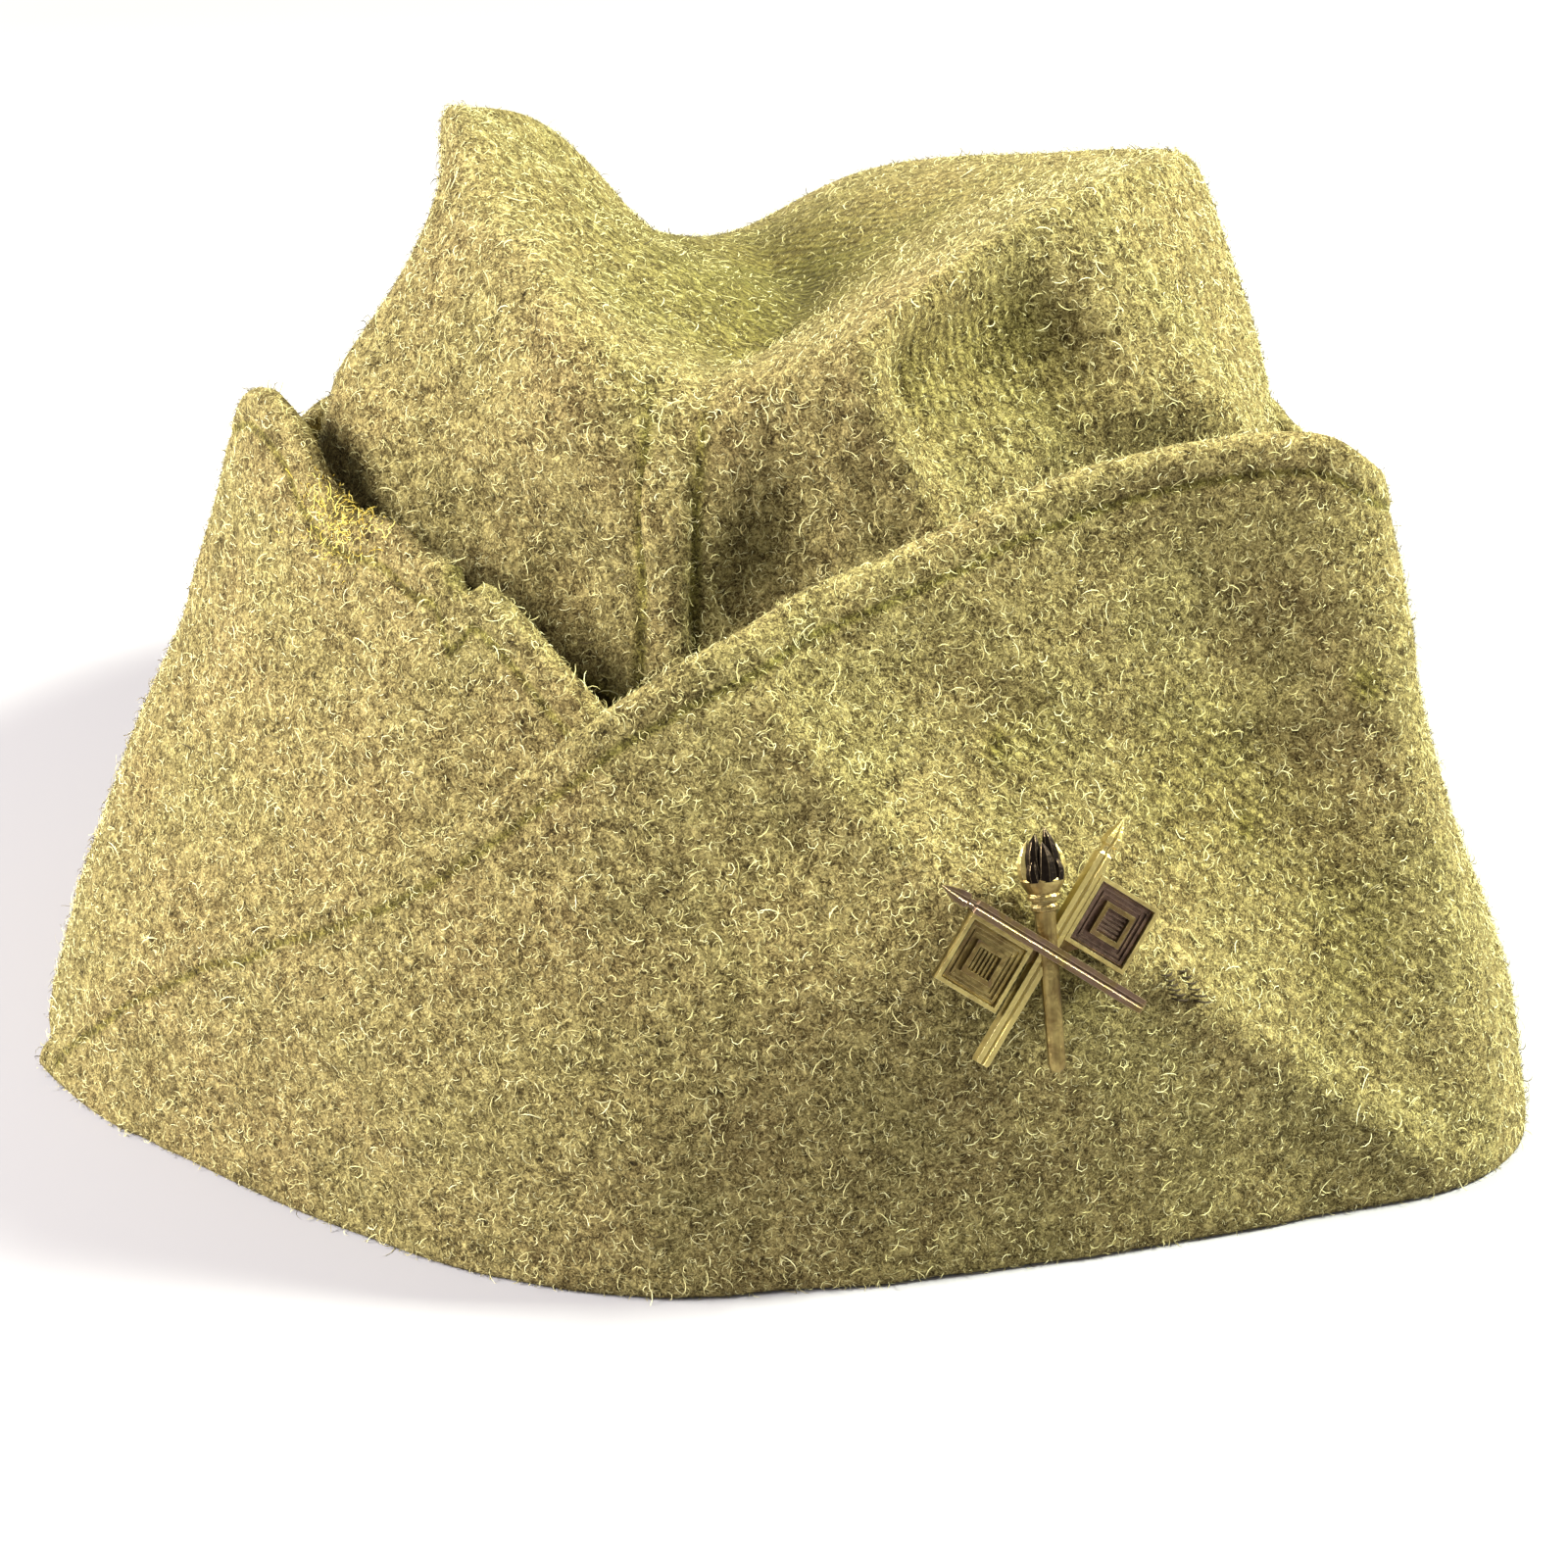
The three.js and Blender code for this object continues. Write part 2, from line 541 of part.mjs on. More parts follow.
const wool = (color) => new THREE.MeshStandardMaterial({ color, roughness: 0.95, metalness: 0 });
const brass = (color) => new THREE.MeshStandardMaterial({ color, roughness: 0.45, metalness: 0.9 });
const pieces = [
  ["crown_side_left", crownSide(-180, 0), wool(0x97884f)],
  ["crown_side_right", crownSide(0, 180), wool(0x8f8250)],
  ["crown_top", topSheet(), wool(0x7d7a3e)],
  ["front_welt", weltSheet(), wool(0xa09058)],
  ["curtain_left", piercedFlap, wool(0x9c8b55)],
  ["curtain_right", underFlap, wool(0xa39358)],
  ["badge", inFrame(badgeSolid), brass(0x8a6f45)],
  ["badge_clasp", inFrame(claspBar), brass(0x7a6238)],
];

const cap = new THREE.Group();
cap.name = "garrison_cap";
for (const [name, geometry, material] of pieces) {
  const mesh = new THREE.Mesh(geometry, material);
  mesh.name = name;
  cap.add(mesh);
}

export default cap;
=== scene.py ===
# %% [markdown]
# # A wool garrison cap
# This lesson dresses a plain model of a folding wool cap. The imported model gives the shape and
# the place of each panel. The script rebuilds each panel as real cloth with a rolled hem, seams
# and folds, and then grows a curly nap on it. Sizes are in millimetres until a mesh is made.

import math

import bpy
import numpy as np
from mathutils import Matrix, Vector


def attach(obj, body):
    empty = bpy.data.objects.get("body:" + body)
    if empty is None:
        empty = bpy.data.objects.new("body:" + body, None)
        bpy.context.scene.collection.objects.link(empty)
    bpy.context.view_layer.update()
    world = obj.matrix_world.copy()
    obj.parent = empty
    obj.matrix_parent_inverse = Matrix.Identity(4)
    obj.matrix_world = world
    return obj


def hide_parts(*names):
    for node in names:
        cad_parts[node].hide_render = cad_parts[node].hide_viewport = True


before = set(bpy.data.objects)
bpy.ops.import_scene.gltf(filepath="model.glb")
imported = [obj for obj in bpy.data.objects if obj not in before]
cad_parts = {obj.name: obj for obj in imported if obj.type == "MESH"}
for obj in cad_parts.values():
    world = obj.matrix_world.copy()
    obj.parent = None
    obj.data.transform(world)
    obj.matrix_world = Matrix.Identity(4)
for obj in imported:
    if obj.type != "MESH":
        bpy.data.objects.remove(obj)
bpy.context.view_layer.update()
MM = 0.001

# %% [markdown]
# ## One helper for nodes and one for colours
# Shader trees and Geometry Nodes trees are both built from nodes, settings and links, so one
# small function serves them all. Colours are written as on a screen, in sRGB, and Blender's
# sockets want linear light, so another function turns one into the other.


# %% Node and colour helpers
def add(tree, kind, inputs=None, stops=None, **settings):
    """Adds one node. inputs gives sockets a value, or the output that feeds them."""
    node = tree.nodes.new(kind)
    for name, value in settings.items():
        setattr(node, name, value)
    for key, value in (inputs or {}).items():
        if isinstance(value, bpy.types.NodeSocket):
            tree.links.new(value, node.inputs[key])
        else:
            node.inputs[key].default_value = value
    if stops:
        elements = node.color_ramp.elements
        while len(elements) < len(stops):
            elements.new(0.5)
        for element, (place, shade) in zip(elements, stops):
            element.position = place
            element.color = shade
    return node


def colour(code):
    """An sRGB hex colour such as "#A08F58" as linear red, green, blue and alpha."""
    parts = [int(code[i : i + 2], 16) / 255 for i in (1, 3, 5)]
    linear = [c / 12.92 if c <= 0.04045 else ((c + 0.055) / 1.055) ** 2.4 for c in parts]
    return (*linear, 1.0)


print("mid wool in linear light:", [round(c, 3) for c in colour("#A08F58")])

# %% [markdown]
# ## The shape of the cap
# Each wall of the cap is described by a short table: a row for each direction seen from above,
# in degrees from the front, with how far out the cloth stands there and at which height, both as
# shares of the cap's size. The walls could also be sculpted or draped by a simulation. Tables were
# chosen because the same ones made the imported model, so the cloth lands where the model has it,
# and the finer folds come on top.

# %% Sizes and tables of the walls
LENGTH, WIDTH = 190, 182
FLAP_HEIGHT, CROWN_HEIGHT = 84, 104
# Thickness of the cloth, gap between two layers, how far the crown hangs in behind the flaps
CLOTH, GAP, SLACK = 2.2, 0.3, 10
STEP = CLOTH + GAP
TOP_DEPTH = 16

# angle, rim, knee, knee's height, trough, trough's height, stand, height of the stand
FLAP_WALL = np.array(
    [
        (-150, 0.95, 0.93, 0.22, 0.88, 0.45, 0.82, 0.69),
        (-122, 0.955, 0.9, 0.22, 0.83, 0.45, 0.755, 0.66),
        (-102, 0.975, 0.9, 0.22, 0.81, 0.45, 0.72, 0.65),
        (-87, 0.98, 0.905, 0.22, 0.8, 0.46, 0.705, 0.67),
        (-72, 1.0, 0.905, 0.24, 0.785, 0.52, 0.685, 0.76),
        (-58, 1.055, 0.975, 0.26, 0.84, 0.6, 0.745, 0.9),
        (-48, 1.04, 0.975, 0.26, 0.85, 0.62, 0.765, 0.965),
        (-36, 1.0, 0.955, 0.26, 0.855, 0.62, 0.765, 0.93),
        (-22, 0.99, 0.96, 0.26, 0.88, 0.58, 0.79, 0.87),
        (-10, 1.0, 0.975, 0.26, 0.9, 0.53, 0.82, 0.8),
        (0, 1.0, 0.98, 0.26, 0.915, 0.53, 0.845, 0.77),
        (10, 0.974, 0.955, 0.38, 0.88, 0.6, 0.8, 0.84),
        (24, 0.965, 0.955, 0.44, 0.85, 0.68, 0.765, 0.92),
        (37, 0.99, 0.975, 0.39, 0.85, 0.69, 0.772, 0.97),
        (48, 1.042, 1.015, 0.3, 0.88, 0.65, 0.835, 1.0),
        (58, 1.12, 1.1, 0.21, 0.99, 0.6, 0.905, 0.945),
        (64, 1.125, 1.085, 0.19, 0.955, 0.57, 0.87, 0.89),
        (72, 1.06, 1.02, 0.19, 0.872, 0.52, 0.805, 0.81),
        (88, 0.935, 0.885, 0.18, 0.805, 0.42, 0.745, 0.69),
        (108, 0.885, 0.86, 0.22, 0.79, 0.44, 0.73, 0.64),
        (130, 0.875, 0.86, 0.22, 0.81, 0.44, 0.76, 0.67),
        (154, 0.915, 0.9, 0.22, 0.85, 0.45, 0.79, 0.69),
        (180, 1.0, 0.98, 0.22, 0.93, 0.46, 0.87, 0.71),
    ]
)
# angle, slack, shoulder, ridge, height of the ridge
CROWN_WALL = np.array(
    [
        (-142, 0.5, 0.63, 0.545, 0.76),
        (-118, 0.6, 0.485, 0.455, 0.9),
        (-90, 0.4, 0.443, 0.45, 0.97),
        (-62, 0.9, 0.465, 0.43, 1.015),
        (-40, 0.5, 0.57, 0.48, 0.96),
        (-22, 0.75, 0.64, 0.56, 0.93),
        (-12, 0.9, 0.68, 0.64, 0.9),
        (0, 0.8, 0.69, 0.63, 0.85),
        (10, 0.7, 0.67, 0.64, 0.88),
        (18, 0.3, 0.68, 0.655, 0.92),
        (26, 0.1, 0.655, 0.58, 0.94),
        (38, 0.8, 0.57, 0.53, 0.965),
        (55, 1.1, 0.63, 0.53, 1.0),
        (74, 0.6, 0.62, 0.53, 0.985),
        (92, 0.2, 0.6, 0.51, 0.945),
        (120, 0.4, 0.52, 0.43, 0.875),
        (146, 0.5, 0.56, 0.45, 0.82),
        (165, 0.5, 0.65, 0.53, 0.78),
        (180, 0.5, 0.71, 0.61, 0.735),
        (203, 0.5, 0.7, 0.64, 0.645),
    ]
)
# angle and share of the flap's height at which its top edge lies
OUTER_EDGE = np.array(
    [(-54, 0.04), (-51, 0.115), (-46, 0.2), (-38, 0.31), (-28, 0.415), (-20, 0.495)]
    + [(-12, 0.605), (-6, 0.69), (0, 0.77), (10, 0.84), (26, 0.925), (43, 0.99)]
    + [(53, 1.0), (60, 0.945), (72, 0.81), (90, 0.68), (110, 0.64), (140, 0.66), (180, 0.71)]
)
UNDER_EDGE = np.array(
    [(-180, 0.71), (-140, 0.66), (-110, 0.65), (-88, 0.67), (-72, 0.76), (-58, 0.9)]
    + [(-48, 0.965), (-41, 0.945), (-36, 0.895), (-20, 0.85), (-13, 0.81), (-6, 0.73)]
    + [(0, 0.66), (10, 0.55), (20, 0.36), (30, 0.22), (44, 0.08)]
)
# share along the top from front to back, place of the valley's bottom across it, depth
VALLEY = np.array([(0, 0.5, 0), (0.2, 0.5, 0.75), (0.5, 0.47, 1), (0.8, 0.42, 0.6), (1, 0.4, 0)])
FLAP_END, UNDER_END = -54, 44
TUCK_START, TUCK_END = -88, -58
print("rows:", len(FLAP_WALL), "of the flap,", len(CROWN_WALL), "of the crown")

# %% [markdown]
# ## From the tables to faces
# A pattern for cloth has smooth lines between its marks, so a smooth curve goes through the rows
# of a table. A face is then a function that gives the place of the cloth's outer side in any
# direction and at any height. The layers under the outer flap are found by moving in from its
# face, because cut and sewn layers keep an even distance, which separate tables would not.


# %% Curves through the tables
def ease(t):
    """A soft step from 0 to 1."""
    s = np.clip(t, 0, 1)
    return s * s * (3 - 2 * s)


def through(knots, values, x):
    """The value at x of a smooth curve through its points, which lie on the last axis."""
    x = np.asarray(x, float)
    count = knots.shape[-1]
    before = np.maximum(np.arange(count) - 1, 0)
    after = np.minimum(np.arange(count) + 1, count - 1)
    slopes = (values[..., after] - values[..., before]) / (knots[..., after] - knots[..., before])
    i = (x[..., None] > knots[..., 1:-1]).sum(-1)[..., None]
    wide = x.shape + (count,)

    def at(rows, k):
        return np.take_along_axis(np.broadcast_to(rows, wide), k, -1)[..., 0]

    span = at(knots, i + 1) - at(knots, i)
    t = np.clip((x - at(knots, i)) / span, 0, 1)
    t2, t3 = t * t, t * t * t
    return (
        (2 * t3 - 3 * t2 + 1) * at(values, i)
        + (t3 - 2 * t2 + t) * span * at(slopes, i)
        + (3 * t2 - 2 * t3) * at(values, i + 1)
        + (t3 - t2) * span * at(slopes, i + 1)
    )


def around(table, column):
    """One column of a table that closes on itself, at any angle."""
    knots = np.concatenate([table[:, 0] + turn for turn in (-360, 0, 360)])
    values = np.tile(table[:, column], 3)
    return lambda angle: through(knots, values, angle)


def along(table, column):
    """One column of a table with two ends."""
    return lambda x: through(table[:, 0], table[:, column], x)


rim, knee, knee_high, trough, trough_high, stand, stand_high = (
    around(FLAP_WALL, c) for c in range(1, 8)
)
slack, shoulder, ridge, ridge_high = (around(CROWN_WALL, c) for c in range(1, 5))
outer_edge, under_edge = along(OUTER_EDGE, 1), along(UNDER_EDGE, 1)
valley_bottom, valley_sink = along(VALLEY, 1), along(VALLEY, 2)
print("flap height at the front:", round(float(outer_edge(0)) * FLAP_HEIGHT, 1), "mm")


# %% The faces of the walls
def raw_plan(angle, out):
    """A point of the plan from its angle and its share, with the front toward -Y."""
    a = np.radians(angle)
    return np.stack([out * np.sin(a), -out * np.cos(a)], -1)


rim_angles = np.arange(-180.0, 180.0)
rim_line = raw_plan(rim_angles, rim(rim_angles))
rim_middle = (rim_line.max(0) + rim_line.min(0)) / 2
plan_scale = np.array([WIDTH, LENGTH]) / np.ptp(rim_line, axis=0)


def place(angle, out, z):
    """A point in millimetres, from its angle, its share of the plan and its height."""
    flat = (raw_plan(angle, out) - rim_middle) * plan_scale
    return np.concatenate([flat, np.broadcast_to(z, flat.shape[:-1])[..., None]], -1)


def flap_face(angle, z):
    """Outer face of the turned-up flap."""
    heights = np.stack([0 * angle, knee_high(angle), trough_high(angle), stand_high(angle)], -1)
    outs = np.stack([rim(angle), knee(angle), trough(angle), stand(angle)], -1)
    return place(angle, through(heights * FLAP_HEIGHT, outs, z), z)


def level_out(face, angle, z):
    """How far to move level out of a face to move one millimetre square to it."""
    round_it = face(angle + 1, z) - face(angle - 1, z)
    up = face(angle, z + 1) - face(angle, z - 1)
    square = np.cross(round_it, up)
    square /= np.linalg.norm(square, axis=-1, keepdims=True)
    level = np.hypot(square[..., 0], square[..., 1])[..., None] ** 2
    return np.concatenate([square[..., :2] / level, 0 * level], -1)


def inward(face, angle, z, depth):
    """A point moved level into a face, by a depth measured square to it."""
    return face(angle, z) - level_out(face, angle, z) * np.asarray(depth)[..., None]


def under_face(angle, z):
    """Outer face of the under flap, one layer in where the outer flap lies over it."""
    tuck = ease((angle - TUCK_START) / (TUCK_END - TUCK_START))
    return inward(flap_face, angle, z, STEP * tuck)


def crown_low(angle, z):
    """Outer face of the crown behind the flaps."""
    hang = SLACK * slack(angle) * ease(z / (stand_high(angle) * FLAP_HEIGHT))
    inner = inward(flap_face, angle, z, 2 * STEP + 0 * angle)
    level = np.hypot(inner[..., 0], inner[..., 1])
    inner[..., :2] *= (1 - hang / level)[..., None]
    return inner


def ridge_height(angle):
    """Height of the crown's folded edge in millimetres."""
    return ridge_high(angle) * CROWN_HEIGHT


def crown_face(angle, z):
    """Outer face of the crown, from the rim up to the folded edge."""
    angle, z = np.broadcast_arrays(np.asarray(angle, float), np.asarray(z, float))
    free = stand_high(angle) * FLAP_HEIGHT
    top = ridge_height(angle)
    middle, below = (free + top) / 2, free - (top - free) / 2
    heights = np.stack([below, free, middle, top], -1)
    knots = [
        crown_low(angle, below),
        crown_low(angle, free),
        place(angle, shoulder(angle), middle),
        place(angle, ridge(angle), top),
    ]
    upper = [through(heights, np.stack([k[..., c] for k in knots], -1), z) for c in (0, 1)]
    low = crown_low(angle, np.minimum(z, free))
    over = (z > free)[..., None]
    flat = np.where(over, np.stack(upper, -1), low[..., :2])
    return np.concatenate([flat, z[..., None]], -1)


print("front of the rim:", np.round(flap_face(np.array(0.0), np.array(0.0)), 1))
print("front of the fold:", np.round(crown_face(0.0, float(ridge_height(np.array(0.0)))), 1))

# %% [markdown]
# ## Folds, dents and lumps
# Old wool never stands as smooth as a curve through a table. Sharp folds are crests that follow a
# line over the cloth, dents are soft hollows, and small lumps come from smooth noise. They push
# the cloth in or out by up to three millimetres. Two other forms are added: above the long fold the
# flap leans in by three millimetres, and under the crown's fold on the wearer's left lies a hollow
# of up to eight. Numbers in tables were chosen over sculpting, because each fold can then be
# compared with the photo and moved by itself.

# %% Relief of the cloth
# Millimetres along the rim for one degree
DEGREE = math.pi * (WIDTH + LENGTH) / 2 / 360
# The long fold of the outer flap, from its edge down to the corner on the wearer's left
LONG_FOLD = [(9, 62), (14, 55), (19, 48), (28, 41.5), (37, 33), (48, 17), (56, 4)]
# A crest: half width, rise, then the angles and heights that its line goes through
FLAP_CRESTS = [
    (3.0, 1.2, *LONG_FOLD),
    (2.6, 0.7, (30, 62), (40, 57), (50, 55), (57, 55)),
    (2.2, 0.5, (-40, 30), (-20, 24), (2, 20)),
]
UNDER_CRESTS = [(3.0, 0.6, (-60, 30), (-48, 44), (-40, 60))]
CROWN_CRESTS = [
    (1.6, 2.6, (15.5, 97), (19, 88), (23, 79), (27, 70)),
    (3.0, 0.9, (34, 80), (44, 84), (56, 84)),
    (2.5, 0.7, (-30, 72), (-22, 80), (-14, 86)),
]
# A dent: angle, height, half width along and up, depth
FLAP_DENTS = [(24, 60, 9, 5, 1.3), (14, 36, 9, 9, 0.5), (-24, 14, 12, 7, 0.6)]
UNDER_DENTS = [(-70, 46, 8, 9, 0.8), (-50, 58, 7, 8, 0.5), (-30, 60, 8, 5, 0.4)]
CROWN_DENTS = [(10, 76, 6, 7, 1.4), (-12, 70, 5, 8, 0.8), (-26, 66, 6, 7, 1.2), (60, 84, 8, 6, 0.9)]
# Height and width of the small lumps that all the cloth has
LUMPS = [(0.22, 9), (0.12, 3.5)]
# How far the cloth leans in above the long fold, within which height, and how far up it goes
FOLD_DROP, FOLD_TURN, FOLD_REACH = 2.9, 4.8, 60.0
# The hollow: depth, the angles where it starts and ends, height and slant of its start
RECESS_DEPTH, RECESS_FROM, RECESS_TO = 7.6, 17.0, 47.0
RECESS_TOP, RECESS_SLANT = 97.0, 0.42


def crest(angle, z, half_width, rise, *line):
    """Height of a sharp fold along a line of angles and heights."""
    near = np.full(np.shape(angle), 1e9)
    for (a0, z0), (a1, z1) in zip(line[:-1], line[1:]):
        run = np.array([(a1 - a0) * DEGREE, z1 - z0])
        dx, dz = (angle - a0) * DEGREE, z - z0
        t = np.clip((dx * run[0] + dz * run[1]) / (run @ run), 0, 1)
        near = np.minimum(near, np.hypot(dx - t * run[0], dz - t * run[1]))
    return rise * np.exp(-near / half_width)


def dent(angle, z, a0, z0, wide, high, depth):
    """Depth of a soft round hollow, below zero."""
    u, v = (angle - a0) * DEGREE / wide, (z - z0) / high
    return -depth * np.exp(-(u * u + v * v) / 2)


def lumps(x, y, size, seed):
    """Smooth random heights from -1 to 1, with lumps about `size` millimetres wide."""
    grid = np.random.default_rng(seed).uniform(-1, 1, (64, 64))
    x, y = x / size, y / size
    i, j = np.floor(x).astype(int), np.floor(y).astype(int)
    fx, fy = ease(x - i), ease(y - j)
    corner = [[grid[(i + p) % 64, (j + q) % 64] for q in (0, 1)] for p in (0, 1)]
    low = corner[0][0] * (1 - fx) + corner[1][0] * fx
    high = corner[0][1] * (1 - fx) + corner[1][1] * fx
    return low * (1 - fy) + high * fy


def fold_away(angle, z):
    """Above the long fold the cloth leans in, so that its face turns up to the light."""
    low = np.interp(angle, [a for a, _ in LONG_FOLD], [high for _, high in LONG_FOLD])
    slope = math.cos(math.atan(1.1 / DEGREE))
    above = (z - low) * slope
    lean = -FOLD_DROP * (1 - np.exp(-np.maximum(above, 0) / FOLD_TURN))
    ends = ease((angle - 6) / 8) * ease((62 - angle) / 10)
    return lean * np.exp(-((np.maximum(above, 0) / FOLD_REACH) ** 2)) * ends


def recess(angle, z):
    """Hollow right under the crown's folded edge, which casts a shadow into it."""
    below = ridge_height(angle) - z
    deep = ease(below / 11) * (1 - ease((below - 13) / 8))
    start = RECESS_FROM + RECESS_SLANT * (RECESS_TOP - z)
    wide = ease((angle - start) / 4) * np.clip((RECESS_TO - angle) / 25, 0, 1)
    return -RECESS_DEPTH * deep * wide


def relief(crests, dents, seed, extra=None):
    """All that a wall's folds add to its face at an angle and a height."""

    def height(angle, z):
        total = sum(rise * lumps(angle * DEGREE, z, size, seed) for rise, size in LUMPS)
        for row in crests:
            total = total + crest(angle, z, *row)
        for row in dents:
            total = total + dent(angle, z, *row)
        return total if extra is None else total + extra(angle, z)

    return height


flap_relief = relief(FLAP_CRESTS, FLAP_DENTS, 3, fold_away)
under_relief = relief(UNDER_CRESTS, UNDER_DENTS, 5)
crown_relief = relief(CROWN_CRESTS, CROWN_DENTS, 7, recess)
print("crests and dents:", len(FLAP_CRESTS + CROWN_CRESTS), len(FLAP_DENTS + CROWN_DENTS))

# %% [markdown]
# ## Making a mesh from a grid
# Cloth is a grid of points, and a staff or a stitch is a row of closed rings, so every piece is
# built from arrays of points and four-sided faces. Modelling by hand would hide where each point
# comes from. A number can be kept with each point. Here it says how much nap grows there, so that
# no fibre is wasted on cloth that another layer hides.


# %% Mesh helpers
def mesh_piece(name, points, faces, nap=None):
    """A piece in metres from points in millimetres, with smooth faces."""
    mesh = bpy.data.meshes.new(name)
    mesh.from_pydata((np.asarray(points) * MM).tolist(), [], [list(f) for f in faces])
    mesh.validate()
    mesh.polygons.foreach_set("use_smooth", np.ones(len(mesh.polygons), bool))
    if nap is not None:
        kept = mesh.attributes.new("nap", "FLOAT", "POINT")
        kept.data.foreach_set("value", np.asarray(nap, np.float32).ravel())
    piece = bpy.data.objects.new(name, mesh)
    bpy.context.scene.collection.objects.link(piece)
    return piece


def tube_faces(rows, columns):
    """Quads of a grid whose last row joins its first."""
    i, j = np.arange(rows)[:, None], np.arange(columns - 1)[None, :]
    a, b = i * columns + j, (i + 1) % rows * columns + j
    return np.stack([a, a + 1, b + 1, b], -1).reshape(-1, 4).tolist()


def ring_faces(rows, sides):
    """Quads that join closed rings of points, one after another."""
    i, j = np.arange(rows - 1)[:, None], np.arange(sides)[None, :]
    a, b = i * sides + j, i * sides + (j + 1) % sides
    return np.stack([a, b, b + sides, a + sides], -1).reshape(-1, 4).tolist()


def end_faces(rows, sides):
    """The two faces that close a row of rings."""
    return [list(range(sides))[::-1], [(rows - 1) * sides + k for k in range(sides)]]


def spaced_angles(start, end, spacing):
    """Angles about `spacing` millimetres apart along the rim."""
    fine = np.linspace(start, end, 800)
    line = flap_face(fine, 0 * fine)
    run = np.concatenate([[0], np.cumsum(np.linalg.norm(np.diff(line, axis=0), axis=1))])
    count = max(2, round(run[-1] / spacing))
    return np.unique(np.interp(np.linspace(0, run[-1], count + 1), run, fine))


print("one degree along the rim is", round(DEGREE, 2), "mm")

# %% [markdown]
# ## A turned-up flap
# The flap is one layer of thick cloth whose top edge is turned in and stitched 4 mm below, which
# leaves a faint line along the edge. A faint step 18 mm below the edge shows where the cloth that
# was turned in ends. Each column of the grid is a closed loop: up the face, over a round edge,
# down the back and under. The loop is walked for every direction round the cap. The Solidify
# modifier would also give thickness, but with a sharp edge, and the roll of the edge shows.

# %% The flap builder
# The stitch line's distance from the edge, the rise above it and the depth of its groove
HEM_LINE, HEM_RAISE, HEM_GROOVE = 4.0, 0.12, 0.35
TURNED_IN, TURNED_RAISE = 18.0, 0.3
COLUMN_STEP, ROUND_STEPS = 1.5, 5
HEM_STEPS = np.array([0.7, 1.4, 2.1, 2.7, 3.2, 3.6, 4.0, 4.4, 4.8, 5.4, 6.2, 7.2])


def edge_stretch(top, angle):
    """Height per millimetre of distance from a sloping top edge."""
    slope = (top(angle + 0.5) - top(angle - 0.5)) / DEGREE
    return np.sqrt(1 + np.clip(slope, -3, 3) ** 2)


def hem_profile(distance):
    """How far the cloth stands proud at a distance from its edge."""
    groove = HEM_GROOVE * np.exp(-(((distance - HEM_LINE) / 0.45) ** 2))
    raised = HEM_RAISE * (1 - ease((distance - HEM_LINE) / 1.2))
    return raised - groove + TURNED_RAISE * (1 - ease((distance - TURNED_IN) / 1.5 + 0.5))


def flap_shell(name, face, height, start, end, top, body_rows, back_rows, shows):
    """A flap from one angle to another, with folds, a hem and a number for its nap."""
    angles = spaced_angles(start, end, COLUMN_STEP)
    tip = top(angles)
    half = np.minimum(CLOTH / 2, tip / 3)
    stretch = edge_stretch(top, angles)
    room = np.minimum(1, 0.5 * (tip - 2 * half) / (HEM_STEPS[-1] * stretch))
    turn = np.linspace(0, math.pi, ROUND_STEPS + 2)[1:-1]
    over = [(tip - half * (1 - np.sin(t)), half * (1 - np.cos(t))) for t in turn]
    under = [(half * (1 - np.sin(t)), half * (1 + np.cos(t))) for t in turn]
    hems = [(tip - half - d * stretch * room, 0 * tip) for d in HEM_STEPS[::-1]]
    low = tip - half - HEM_STEPS[-1] * stretch * room
    front = [(half + (low - half) * s, 0 * tip) for s in np.linspace(0, 1, body_rows)[:-1]]
    back = [(half + (tip - 2 * half) * s, 2 * half) for s in np.linspace(1, 0, back_rows)]
    loop = front + hems + [(tip - half, 0 * tip)] + over + back + under
    z = np.stack([p[0] for p in loop])
    depth = np.stack([p[1] for p in loop])
    angle = np.broadcast_to(angles, z.shape)
    distance = (tip - z) / stretch
    proud = height(angle, z) + hem_profile(distance) * (1 - depth / CLOTH) * room
    points = inward(face, angle, z, depth - proud)
    ends = points[:, [0, -1]].copy()
    for side, (a, b) in enumerate(((0, 1), (-1, -2))):
        out = points[:, a] - points[:, b]
        out /= np.linalg.norm(out, axis=1, keepdims=True)
        centre = inward(face, angle[:, a], z[:, a], (CLOTH / 2) * np.ones(len(z)))
        ends[:, side] = centre + (ends[:, side] - centre) * 0.45 + out * half[a] * 0.9
    points = np.concatenate([ends[:, :1], points, ends[:, 1:]], 1)
    # Less nap along the stitch line, so that the material paints the hem's groove darker: painted shade
    # in the groove
    sewn_and_shaded = 1 - 0.8 * np.exp(-(((distance - HEM_LINE) / 0.55) ** 2))
    visible = shows(angle, z) * np.where(depth > CLOTH * 0.7, distance < 9, sewn_and_shaded)
    visible = np.concatenate([visible[:, :1], visible, visible[:, -1:]], 1)
    rows, columns = points.shape[:2]
    ring = [i * columns for i in range(rows)]
    faces = tube_faces(rows, columns) + [ring, [i + columns - 1 for i in ring[::-1]]]
    return mesh_piece(name, points.reshape(-1, 3), faces, visible)


print("the hem has", len(HEM_STEPS), "rows of points")

